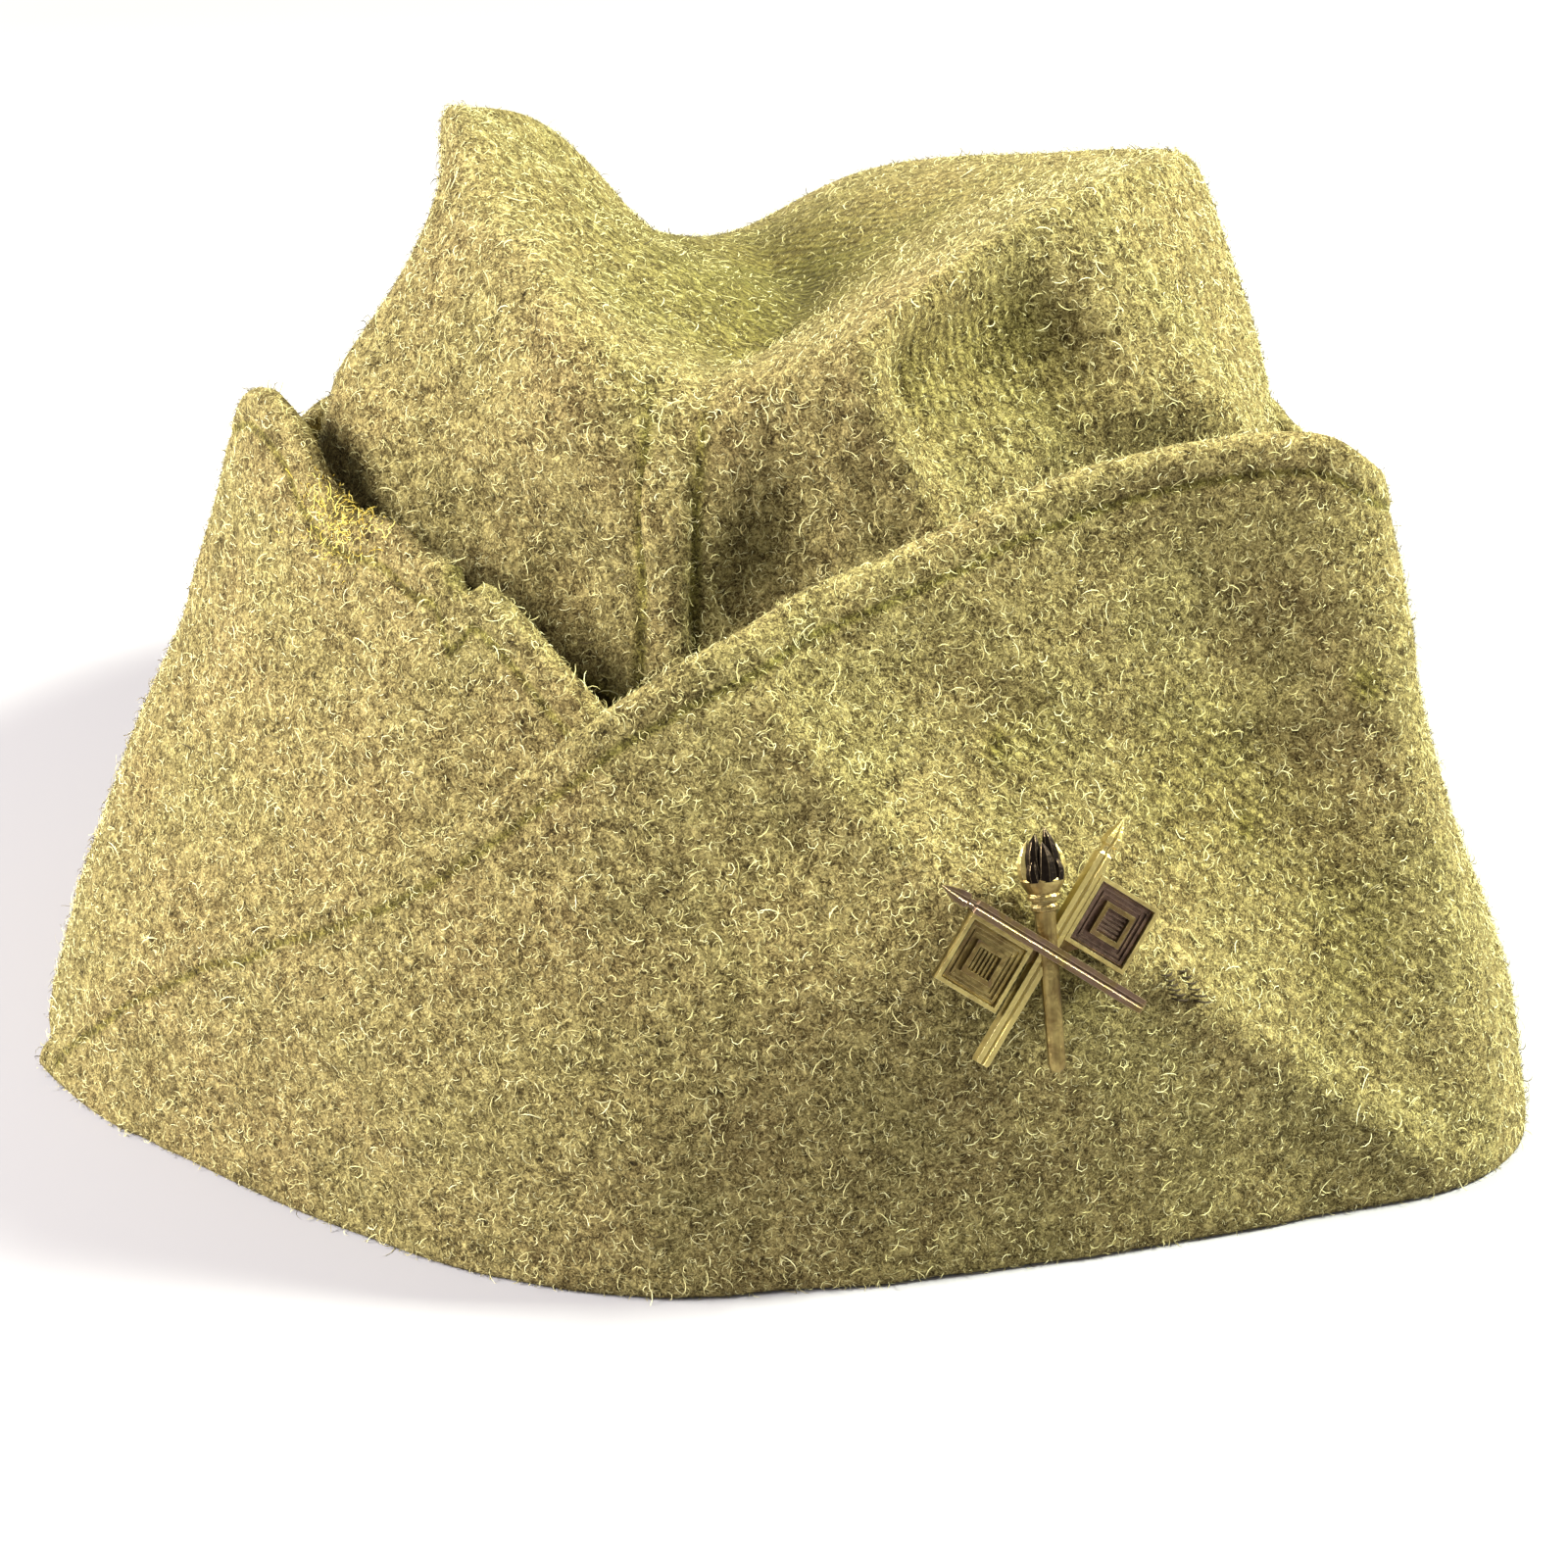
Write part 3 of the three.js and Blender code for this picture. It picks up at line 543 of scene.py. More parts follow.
# %% The two flaps
# Where the nap is worn off, or thinned so that the cloth is painted darker as shade: angle, height, half
# width along and up, share that is gone
FLAP_WORN_AND_SHADED = [
    (44, 48, 9, 8, 0.4),
    (30, 56, 5, 4, 0.35),
    (52, 30, 6, 10, 0.35),
    (27.4, 55.3, 1, 1, 0.9),
    (55.6, 56.9, 1.2, 1.6, 0.9),
    (46.9, 43.1, 0.9, 0.9, 0.9),
    # Under and round the badge the nap is thinned, so that the material paints the cloth darker: painted
    # shadow of the badge
    (28, 37.5, 6, 6, 0.5),
]
UNDER_WORN = [(-32.5, 74, 3, 2, 0.6), (-18, 71, 2, 1.5, 0.9)]
# The first two crown patches lie in the hollow under the crown's fold, and the darker cloth there is
# painted shade; the third is wear
CROWN_WORN_AND_SHADED = [(27, 90, 8, 6, 0.4), (38, 89, 9, 6, 0.45), (-4, 92, 4, 4, 0.3)]


def nap_after_wear_and_shade(angle, z, patches):
    """Share of the nap that is left at each place."""
    left = np.ones(np.shape(z))
    for row in patches:
        left = left * (1 + dent(angle, z, *row))
    return left


def waver(angle, seed):
    """How much a worn edge wavers up and down."""
    return 0.45 * lumps(np.asarray(angle, float) * DEGREE, np.zeros(np.shape(angle)), 6, seed)


def outer_top(angle):
    """Height of the outer flap's edge in millimetres."""
    return outer_edge(angle) * FLAP_HEIGHT + waver(angle, 12)


def under_top(angle):
    """The edge of the under flap has a torn notch and a frayed dip beside it."""
    notch = 2.6 * np.exp(-(((angle + 18) / 1.0) ** 2))
    frayed = 0.9 * np.exp(-(((angle + 32) / 3.5) ** 2))
    return under_edge(angle) * FLAP_HEIGHT + waver(angle, 13) - notch - frayed


def under_shows(angle, z):
    """The under flap shows past the outer flap's end and above its edge."""
    above = z > outer_top(np.maximum(angle, FLAP_END)) - 4
    return np.where(angle < FLAP_END, 1.0, above.astype(float)) * nap_after_wear_and_shade(angle, z, UNDER_WORN)


def outer_shows(angle, z):
    return nap_after_wear_and_shade(angle, z, FLAP_WORN_AND_SHADED)


# Rows of points up the face and down the back of each flap
OUTER_ROWS, OUTER_BACK, UNDER_ROWS, UNDER_BACK = 46, 26, 40, 22
outer_made = (FLAP_END, 180, outer_top, OUTER_ROWS, OUTER_BACK, outer_shows)
outer_cloth = flap_shell("outer_flap_cloth", flap_face, flap_relief, *outer_made)
under_made = (-180, UNDER_END, under_top, UNDER_ROWS, UNDER_BACK, under_shows)
under_cloth = flap_shell("under_flap_cloth", under_face, under_relief, *under_made)
for piece, node in ((outer_cloth, "curtain_left"), (under_cloth, "curtain_right")):
    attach(piece, "root")
    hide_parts(node)
    print(piece.name, len(piece.data.polygons), "faces")

# %% [markdown]
# ## The crown
# The crown is one skin in three panels: two sides, sewn at the front and back, and a top that is
# sunk into a valley. On an old cap the fold between side and top is a soft roll, so the three
# panels are made as one surface. The top is a patch stretched between its four edges, and the
# Smooth modifier rounds the fold: strongly on the wearer's right, half as much at the front and
# back, and hardly at all on the wearer's left. Solidify then gives the skin its thickness. A
# curve round each fold would take more points, and a modifier can be weighted place by place.

# %% The crown builder
CORNERS = {"front_left": -14, "front_right": 18, "back_right": 150, "back_left": 222}
ACROSS, ALONG, UP = 54, 90, 56
VALLEY_SHARP = 1.65
# How soft the fold is: angle, share of smoothing, height added before the smoothing
SOFTNESS = np.array(
    [(-157, 0.1, 0.2), (-146, 0.3, 0.6), (-110, 0.9, 2.0), (-75, 0.45, 1.0), (-60, 0.3, 0.6)]
    + [(-40, 1.0, 2.4), (-20, 1.0, 2.4), (-8, 0.5, 1.2), (4, 0.35, 0.8), (14, 0.1, 0.3)]
    + [(30, 0.03, 0.1), (60, 0.05, 0.2), (100, 0.3, 0.8), (150, 0.5, 1.0), (180, 0.3, 0.6)]
)
softness, raise_first = around(SOFTNESS, 1), around(SOFTNESS, 2)
NOTCH_ANGLE, NOTCH_DEPTH, NOTCH_REACH = 203, 3.2, 9.0
SMOOTH_ROUNDS = 90
# The front seam: its place across, the distance and depth of the crease on either side
SEAM_X, CREASE_AWAY, CREASE_DEPTH = -2.5, 2.9, 0.6


def raised(angle):
    """Height added before the smoothing, less a notch where the valley leaves at the back."""
    away = np.abs((np.asarray(angle, float) - NOTCH_ANGLE + 180) % 360 - 180)
    return raise_first(angle) - NOTCH_DEPTH * np.exp(-away / NOTCH_REACH)


def fold_point(angle):
    """The folded edge, with the height that smoothing will take away again."""
    z = ridge_height(angle)
    point = crown_face(angle, z)
    point[..., 2] += raised(angle)
    return point


def mix(a, b, t):
    return a + (b - a) * t


def slope_across(u, v):
    """From 0 at the folded edges to 1 at the valley's bottom."""
    bottom = valley_bottom(v)
    return np.where(u < bottom, u / bottom, (1 - u) / (1 - bottom))


def top_patch(u, v):
    """The sunken top between its four edges, u across and v along, both 0 to 1."""
    c = CORNERS
    left = fold_point(mix(c["front_left"], c["back_left"] - 360, v))
    right = fold_point(mix(c["front_right"], c["back_right"], v))
    front = fold_point(mix(c["front_left"], c["front_right"], u))
    back = fold_point(mix(c["back_left"], c["back_right"], u))
    ends = [fold_point(np.array(float(c[k]))) for k in c]
    p, q = u[..., None], v[..., None]
    patch = left * (1 - p) + right * p + front * (1 - q) + back * q
    patch -= ends[0] * (1 - p) * (1 - q) + ends[1] * p * (1 - q)
    patch -= ends[3] * (1 - p) * q + ends[2] * p * q
    patch[..., 2] -= TOP_DEPTH * valley_sink(v) * slope_across(u, v) ** VALLEY_SHARP
    return patch


print("valley depth in its middle:", TOP_DEPTH * float(valley_sink(0.5)), "mm")


# %% The crown's skin
def crown_boundary():
    """Angles of the fold's vertices, once round, in the order of the patch's edges."""
    c = CORNERS
    u, v = np.linspace(0, 1, ACROSS + 1), np.linspace(0, 1, ALONG + 1)
    return np.concatenate(
        [
            mix(c["front_left"], c["front_right"], u)[:-1],
            mix(c["front_right"], c["back_right"], v)[:-1],
            mix(c["back_right"], c["back_left"], u)[:-1],
            mix(c["back_left"], c["front_left"] + 360, v)[:-1],
        ]
    )


def crown_skin():
    """Points, faces, nap and softness of the two sides and the top as one surface."""
    angles = crown_boundary()
    share = np.linspace(0, 1, UP + 1)[:, None]
    z = share * ridge_height(angles)
    angle = np.broadcast_to((angles + 180) % 360 - 180, z.shape)
    free = ease((z - 0.6 * stand_high(angle) * FLAP_HEIGHT) / 12)
    fade = 1 - 0.6 * ease((share - 0.93) / 0.07)
    away = np.abs(crown_face(angle, z)[..., 0] - SEAM_X)
    seam = np.exp(-((away - CREASE_AWAY) ** 2) / 0.5)
    seam *= (np.abs(angle) < 8) * (1 - ease((z - 82) / 10))
    proud = crown_relief(angle, z) * free * fade - CREASE_DEPTH * seam
    walls = inward(crown_face, angle, z, -proud)
    walls[..., 2] += raised(angle) * ease((share - 0.8) / 0.2)
    walls[-1] = fold_point(angle[-1])
    u, v = np.meshgrid(np.linspace(0, 1, ACROSS + 1), np.linspace(0, 1, ALONG + 1))
    top = top_patch(u, v)
    columns = len(angles)
    points = np.concatenate([walls.reshape(-1, 3), top[1:-1, 1:-1].reshape(-1, 3)])
    ring = UP * columns + np.arange(columns)
    index = np.zeros((ALONG + 1, ACROSS + 1), int)
    inner = np.arange((ALONG - 1) * (ACROSS - 1)).reshape(ALONG - 1, ACROSS - 1)
    index[1:-1, 1:-1] = len(walls) * columns + inner
    index[0, :] = ring[: ACROSS + 1]
    index[:, -1] = ring[ACROSS : ACROSS + ALONG + 1]
    index[-1, ::-1] = ring[ACROSS + ALONG : 2 * ACROSS + ALONG + 1]
    index[::-1, 0] = np.append(ring[2 * ACROSS + ALONG :], ring[0])
    lids = np.stack([index[:-1, :-1], index[:-1, 1:], index[1:, 1:], index[1:, :-1]], -1)
    faces = ring_faces(UP + 1, columns) + lids.reshape(-1, 4).tolist()
    # The flaps hide the low part of the crown, so no nap grows there, and where it shows between the
    # layers the material paints it darkest: painted shade. Less nap in the creases beside the front seam
    # paints them darker: painted shade in the creases
    hidden = z < stand_high(angle) * FLAP_HEIGHT - 9
    kept = np.where(hidden, 0, 1) * nap_after_wear_and_shade(angle, z, CROWN_WORN_AND_SHADED) * (1 - 0.85 * seam)
    # Less nap towards the valley's bottom, so that the material paints the valley darker: painted shade
    sunk = valley_sink(v) * slope_across(u, v) ** VALLEY_SHARP
    nap = np.concatenate([kept.ravel(), (0.95 - 0.8 * sunk)[1:-1, 1:-1].ravel()])
    soft_wall = softness(angle) * ease((share - 0.72) / 0.28)
    near = np.minimum(np.minimum(u, 1 - u) * 1.6, np.minimum(v, 1 - v) * 2.2)[1:-1, 1:-1]
    round_it = np.degrees(np.arctan2(top[..., 0], -top[..., 1]))[1:-1, 1:-1]
    soft_top = np.maximum(softness(round_it) * (1 - ease(near / 0.35)), 0.03)
    return points, faces, nap, np.concatenate([soft_wall.ravel(), soft_top.ravel()])


skin_points, skin_faces, skin_nap, skin_soft = crown_skin()
crown_cloth = mesh_piece("crown_cloth", skin_points, skin_faces, skin_nap)
soft_group = crown_cloth.vertex_groups.new(name="soft fold")
for step in np.unique(np.round(skin_soft, 2)):
    chosen = np.nonzero(np.round(skin_soft, 2) == step)[0].tolist()
    soft_group.add(chosen, float(step), "REPLACE")
roll = crown_cloth.modifiers.new("rounded fold", "SMOOTH")
roll.factor, roll.iterations, roll.vertex_group = 0.5, SMOOTH_ROUNDS, "soft fold"
skin = crown_cloth.modifiers.new("cloth thickness", "SOLIDIFY")
skin.thickness, skin.offset, skin.use_even_offset = CLOTH * MM, -1, True


def finished(piece):
    """Applies a piece's modifiers and puts the result in its place as a plain mesh."""
    seen = piece.evaluated_get(bpy.context.evaluated_depsgraph_get())
    mesh = bpy.data.meshes.new_from_object(seen)
    old = piece.data
    piece.modifiers.clear()
    piece.data = mesh
    bpy.data.meshes.remove(old)
    mesh.name = piece.name


outer_count = len(crown_cloth.data.vertices)
finished(crown_cloth)
grown = np.zeros(len(crown_cloth.data.vertices), np.float32)
grown[:outer_count] = skin_nap
crown_cloth.data.attributes["nap"].data.foreach_set("value", grown)
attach(crown_cloth, "root")
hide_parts("crown_side_left", "crown_side_right", "crown_top")
print("crown:", len(crown_cloth.data.polygons), "faces")

# %% [markdown]
# ## The welt on the front seam
# A strip of the same cloth covers the seam at the front. It stands half a millimetre proud
# between two dark creases and sinks into the crown near the top. It could be a ridge of the crown
# itself, but it is a strip of its own on the real cap, and as its own piece it can be changed.

# %% The welt
WELT_WIDTH, WELT_RISE, WELT_SINK = 5.3, 0.5, 0.9
WELT_LOW, WELT_TOP = 46.0, 88.0
WELT_STEPS, WELT_ROWS = 9, 44


def welt_lines(z):
    """Angles of the welt's middle line and of one millimetre beside it, at a height."""
    # Its two borders are straight lines, given at 60 and at 86 mm
    share = (z - 60) / 26
    left, right = mix(-3.3, -3.9, share), mix(2.7, 1.5, share)
    return (left + right) / 2, (right - left) / WELT_WIDTH


def build_welt():
    """The strip: rings of points from its low end to its top."""
    z = np.linspace(WELT_LOW, WELT_TOP, WELT_ROWS)[:, None]
    across = np.linspace(-1, 1, WELT_STEPS)[None, :]
    middle, per_mm = welt_lines(z)
    angle = middle + per_mm * across * WELT_WIDTH / 2 + 0 * z
    # It sinks into the crown from 76 mm up
    fade = 1 - ease((z - 76) / 12)
    rise = (WELT_RISE + WELT_SINK) * np.sqrt(np.clip(1 - across**4, 0, 1)) - WELT_SINK
    rise = rise * (0.35 + 0.65 * fade) - 0.55 * (1 - fade)
    lump = crown_relief(angle, z) * ease((z - 0.6 * stand_high(angle) * FLAP_HEIGHT) / 12)
    face = inward(crown_face, angle, z + 0 * across, -(rise + lump))
    back = inward(crown_face, angle, z + 0 * across, 0.9 * WELT_SINK - lump)[:, 1:-1]
    points = np.concatenate([face, back[:, ::-1]], 1)
    rows, columns = points.shape[:2]
    faces = ring_faces(rows, columns) + end_faces(rows, columns)
    shows = np.broadcast_to(z > outer_top(0.0) - 4, (rows, columns)).astype(float)
    return mesh_piece("front_seam_welt", points.reshape(-1, 3), faces, shows)


welt_cloth = build_welt()
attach(welt_cloth, "root")
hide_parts("front_welt")
print("welt:", len(welt_cloth.data.polygons), "faces")

# %% [markdown]
# ## The badge
# The badge is cast brass: two crossed staffs with a small square pennant each, and a torch behind
# the front staff. Every part is a loft, which is a row of cross-sections joined along a line, or a
# mitred frame, and all of them go into one mesh, as the real badge is one piece of metal. The
# Bevel modifier rounds the edges a little and gives the narrow new faces a second material,
# because rubbed brass shines on its edges while the rest stays brown. Cutting solids with
# Booleans would give the same shapes with less even edges.

# %% Badge builders
BADGE_ANGLE, BADGE_HEIGHT, BADGE_TURN, BADGE_OUT = 27.8, 38.4, 7.5, 1.7
STAFF_WIDTH, STAFF_LEAN = 1.5, 45
PENNANT_SIDE, PENNANT_TOP = 7.6, 9.4
TORCH_LENGTH, TORCH_TURN = 25.5, -7.5
POST_SPACING, POST_LENGTH, POST_RADIUS = 13, 6.8, 0.8
GOLDEN, BROWN, PURPLE, FLAME_DARK = 0.85, 0.5, 0.15, -0.15


class Casting:
    """Collects the points, faces and tints of many small parts for one mesh."""

    def __init__(self):
        self.points, self.faces, self.tints, self.count = [], [], [], 0

    def take(self, points, faces, turn, shift, tint):
        c, d = math.cos(math.radians(turn)), math.sin(math.radians(turn))
        points = np.asarray(points, float) + np.array([*shift, 0.0])
        flat = points[:, :2] @ np.array([[c, d], [-d, c]])
        self.points.append(np.concatenate([flat, points[:, 2:]], 1))
        self.faces += [[k + self.count for k in face] for face in faces]
        self.tints.append(np.full(len(points), tint))
        self.count += len(points)

    def loft(self, rings, turn=0, shift=(0, 0), tint=BROWN):
        """Rings of points, one after another, joined and closed at both ends."""
        rings = np.asarray(rings, float)
        rows, sides = rings.shape[:2]
        faces = ring_faces(rows, sides) + end_faces(rows, sides)
        self.take(rings.reshape(-1, 3), faces, turn, shift, tint)

    def square_frame(self, size, width, low, high, turn, shift, tint):
        """A mitred square frame with a flat top."""
        corners = [(-1, -1), (1, -1), (1, 1), (-1, 1)]
        outer, inner = size / 2, size / 2 - width
        profile = [(outer, low), (outer, high), (inner, high), (inner, low)]
        points = [(x * r, y * r, z) for x, y in corners for r, z in profile]
        faces = []
        for k in range(4):
            a, b = k * 4, (k + 1) % 4 * 4
            faces += [[a + q, b + q, b + (q + 1) % 4, a + (q + 1) % 4] for q in range(4)]
        self.take(points, faces, turn, shift, tint)

    def block(self, wide, long, low, high, turn=0, shift=(0, 0), tint=BROWN):
        x, y = wide / 2, long / 2
        ring = [(-x, -y), (x, -y), (x, y), (-x, y)]
        self.loft([[(a, b, z) for a, b in ring] for z in (low, high)], turn, shift, tint)


def staff_rings(low, high, foot, tip):
    """A square staff with a groove down its face, a neck and a pointed tip."""
    side = STAFF_WIDTH / 2
    steps = [(foot, 0.9), (foot + 0.3, 1.0), (tip - 4.2, 1.0), (tip - 3.9, 0.62)]
    steps += [(tip - 3.3, 0.6), (tip - 3.0, 1.05), (tip - 2.2, 1.0), (tip - 0.9, 0.5), (tip, 0.08)]
    middle = (low + high) / 2
    rings = []
    for y, share in steps:
        w, groove = side * share, 0.22 * share
        top, bottom = middle + (high - middle) * share, middle + (low - middle) * share
        outline = [(-w, bottom), (w, bottom), (w, top), (groove, top), (0, top - groove)]
        rings.append([(x, y, z) for x, z in [*outline, (-groove, top), (-w, top)]][::-1])
    return rings


def round_rings(steps, centre, sides=18, flat=0.85):
    """Rings about the torch's axis, from pairs of height and radius."""
    turns = np.linspace(0, 2 * math.pi, sides, endpoint=False)
    return [
        [(r * math.cos(t), y, centre + flat * r * math.sin(t)) for t in -turns] for y, r in steps
    ]


def tongue_rings(foot, tip, radius, bend, centre):
    """One tongue of the flame, from its foot to its tip."""
    rings = []
    for t in np.linspace(0, 1, 7):
        x = mix(foot[0], tip[0], t) + bend * math.sin(math.pi * t)
        y, r = mix(foot[1], tip[1], t), radius * (1 - t) ** 0.7 * (1 + 0.5 * t) + 0.03
        turns = np.linspace(0, 2 * math.pi, 8, endpoint=False)
        rings.append([(x + r * math.cos(a), y, centre + r * math.sin(a)) for a in -turns])
    return rings


# %% [markdown]
# ## Putting the badge together
# Each pennant is a plate with four raised frames and five thin bars, which stand for the fine
# lines in the photo. The flame is seven curved tongues. Two posts behind the badge go through the
# flap. A row of numbers for each part was chosen over a flat drawing that is made thicker, because
# the parts overlap in depth: the torch lies behind one staff and is sunk into the other.

# %% Cast the badge
casting = Casting()
# A staff: its lean, the side of its pennant, its low and high face, its foot, its tip and its tint, which
# paints the back staff lighter, as lit, and the front staff darker, as in shade
for lean, side, low, high, foot, tip, staff_tint_and_light in (
    (-STAFF_LEAN, 1, 0.0, 1.5, -13.5, 15.5, GOLDEN + 0.15),
    (STAFF_LEAN, -1, 1.5, 3.0, -11.6, 14.0, BROWN - 0.12),
):
    casting.loft(staff_rings(low, high, foot, tip), lean, tint=staff_tint_and_light)
    base = 0.1 if side > 0 else 0.5
    shift = (side * (PENNANT_SIDE + STAFF_WIDTH) / 2, PENNANT_TOP - PENNANT_SIDE / 2)
    shade = PURPLE + 0.08 if side > 0 else BROWN + 0.1
    casting.block(PENNANT_SIDE, PENNANT_SIDE, base, base + 0.85, lean, shift, shade)
    casting.square_frame(PENNANT_SIDE, 0.42, base, base + 1.5, lean, shift, GOLDEN)
    casting.square_frame(6.3, 0.3, base, base + 1.15, lean, shift, shade)
    casting.square_frame(5.1, 0.2, base, base + 1.05, lean, shift, shade)
    casting.square_frame(3.7, 0.5, base, base + 1.55, lean, shift, BROWN)
    for row in range(5):
        place_at = (shift[0], shift[1] + 0.48 * (row - 2))
        casting.block(2.5, 0.2, base, base + 1.2, lean, place_at, shade)

TORCH_CENTRE = 1.1
torch_half = TORCH_LENGTH / 2
handle = [(-torch_half, 0.5), (-torch_half + 0.3, 0.8), (-torch_half + 0.9, 0.95), (-4, 1.0)]
handle += [(3.6, 1.14), (4.1, 1.2), (4.3, 1.5), (4.7, 1.5), (4.9, 1.3), (5.2, 1.3), (5.4, 1.8)]
handle += [(5.8, 1.8), (6.0, 1.6), (6.4, 1.9), (7.0, 2.25), (7.5, 2.4), (7.7, 2.3), (7.8, 1.6)]
casting.loft(round_rings(handle, TORCH_CENTRE), TORCH_TURN, tint=BROWN + 0.12)
# A tongue: its foot and its tip across and up, its radius, its bend and how far it comes forward
for foot, tip, radius, bend, lift in (
    ((-1.45, 7.2), (-1.35, 11.6), 0.8, -0.55, 0.0),
    ((1.45, 7.2), (1.35, 11.3), 0.8, 0.55, 0.0),
    ((-0.6, 7.4), (-0.6, 12.3), 1.15, -0.35, 0.45),
    ((0.6, 7.4), (0.5, 12.75), 1.15, 0.35, 0.35),
    ((0.0, 7.4), (-0.1, 11.4), 1.2, 0.15, 0.95),
    ((-1.1, 7.4), (-1.0, 10.0), 0.85, -0.25, 0.95),
    ((1.1, 7.4), (1.1, 9.8), 0.85, 0.25, 0.95),
):
    flame_tint = GOLDEN if abs(foot[0]) > 1.4 else FLAME_DARK
    rings = tongue_rings(foot, tip, radius, bend, TORCH_CENTRE + lift)
    casting.loft(rings, TORCH_TURN, tint=flame_tint)
casting.block(POST_SPACING + 2, 1.6, 0, 0.9)
for side in (-1, 1):
    pins = round_rings([(-POST_LENGTH, POST_RADIUS), (0.4, POST_RADIUS)], 0, 12, 1)
    upright = [[(x + side * POST_SPACING / 2, z, y) for x, y, z in ring[::-1]] for ring in pins]
    casting.loft(upright)

badge_step = math.degrees(POST_SPACING / LENGTH)
badge_spot = [np.array(BADGE_ANGLE), np.array(BADGE_HEIGHT)]
badge_along = flap_face(badge_spot[0] + badge_step, badge_spot[1])
badge_along = badge_along - flap_face(badge_spot[0] - badge_step, badge_spot[1])
badge_up = flap_face(badge_spot[0], badge_spot[1] + POST_SPACING / 2)
badge_up = badge_up - flap_face(badge_spot[0], badge_spot[1] - POST_SPACING / 2)
out = Vector(np.cross(badge_along, badge_up)).normalized()
across = Matrix.Rotation(math.radians(BADGE_TURN), 3, out) @ Vector(badge_along).normalized()
axes = np.array([across, out.cross(across), out])
badge_points = np.concatenate(casting.points) @ axes + flap_face(*badge_spot)
badge_points = badge_points + np.array(out) * BADGE_OUT
badge = mesh_piece("cast_badge", badge_points, casting.faces)
badge.data.polygons.foreach_set("use_smooth", np.zeros(len(badge.data.polygons), bool))
tint = badge.data.attributes.new("tint", "FLOAT", "POINT")
tint.data.foreach_set("value", np.concatenate(casting.tints).astype(np.float32))
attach(badge, "root")
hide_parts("badge")
print("badge:", len(badge.data.polygons), "faces before its edges are rounded")

# %% [markdown]
# ## Wool
# Wool melton is heavily felted, so its fibres point every way and it has no gloss, only a soft
# sheen at grazing angles. Its colour comes from fibres dyed in slightly different greens and
# browns, so the pattern is made in layers: single fibres, small clumps and broad worn areas. Where
# the nap is thin, the slanting ribs of the twill under the felt show. A picture of cloth would
# bring its own light and repeat itself, so the layers are noise at the real size of a fibre.

# %% Wool materials
FIBRE_SIZE, CLUMP_SIZE, WORN_SIZE, RIB_STEP = 0.42, 1.7, 16.0, 1.3
WOOL_FLECK = ("#1F190E", "#51452B", "#8A7E5A", "#BAAE80", "#E0D5A3")
FLECK_PLACES = (0.34, 0.43, 0.51, 0.6, 0.7)
WORN_COLOURS, WORN_PLACES = ("#7A7C48", "#8A7A54"), (0.35, 0.65)
FLAP_RIBS, CROWN_RIBS = (0.0, 0.955, -0.524), (0.0, 0.1, -0.75)
SOFT_LIGHT = {"data_type": "RGBA", "blend_type": "SOFT_LIGHT"}
MULTIPLIED = {"data_type": "RGBA", "blend_type": "MULTIPLY"}
WHITE = (1, 1, 1, 1)


def new_material(name):
    """A material with an empty node tree."""
    material = bpy.data.materials.new(name)
    material.use_nodes = True
    tree = material.node_tree
    tree.nodes.clear()
    return material, tree


def grains(vector, size, detail, bend):
    """Inputs of a noise whose grains are about `size` millimetres wide."""
    given = {"Vector": vector, "Scale": 1 / (size * MM), "Detail": detail}
    return {**given, "Roughness": 0.65, "Distortion": bend}


def shades(places, codes):
    """Stops of a colour ramp from their places and sRGB codes."""
    return [(float(place), colour(code)) for place, code in zip(places, codes)]


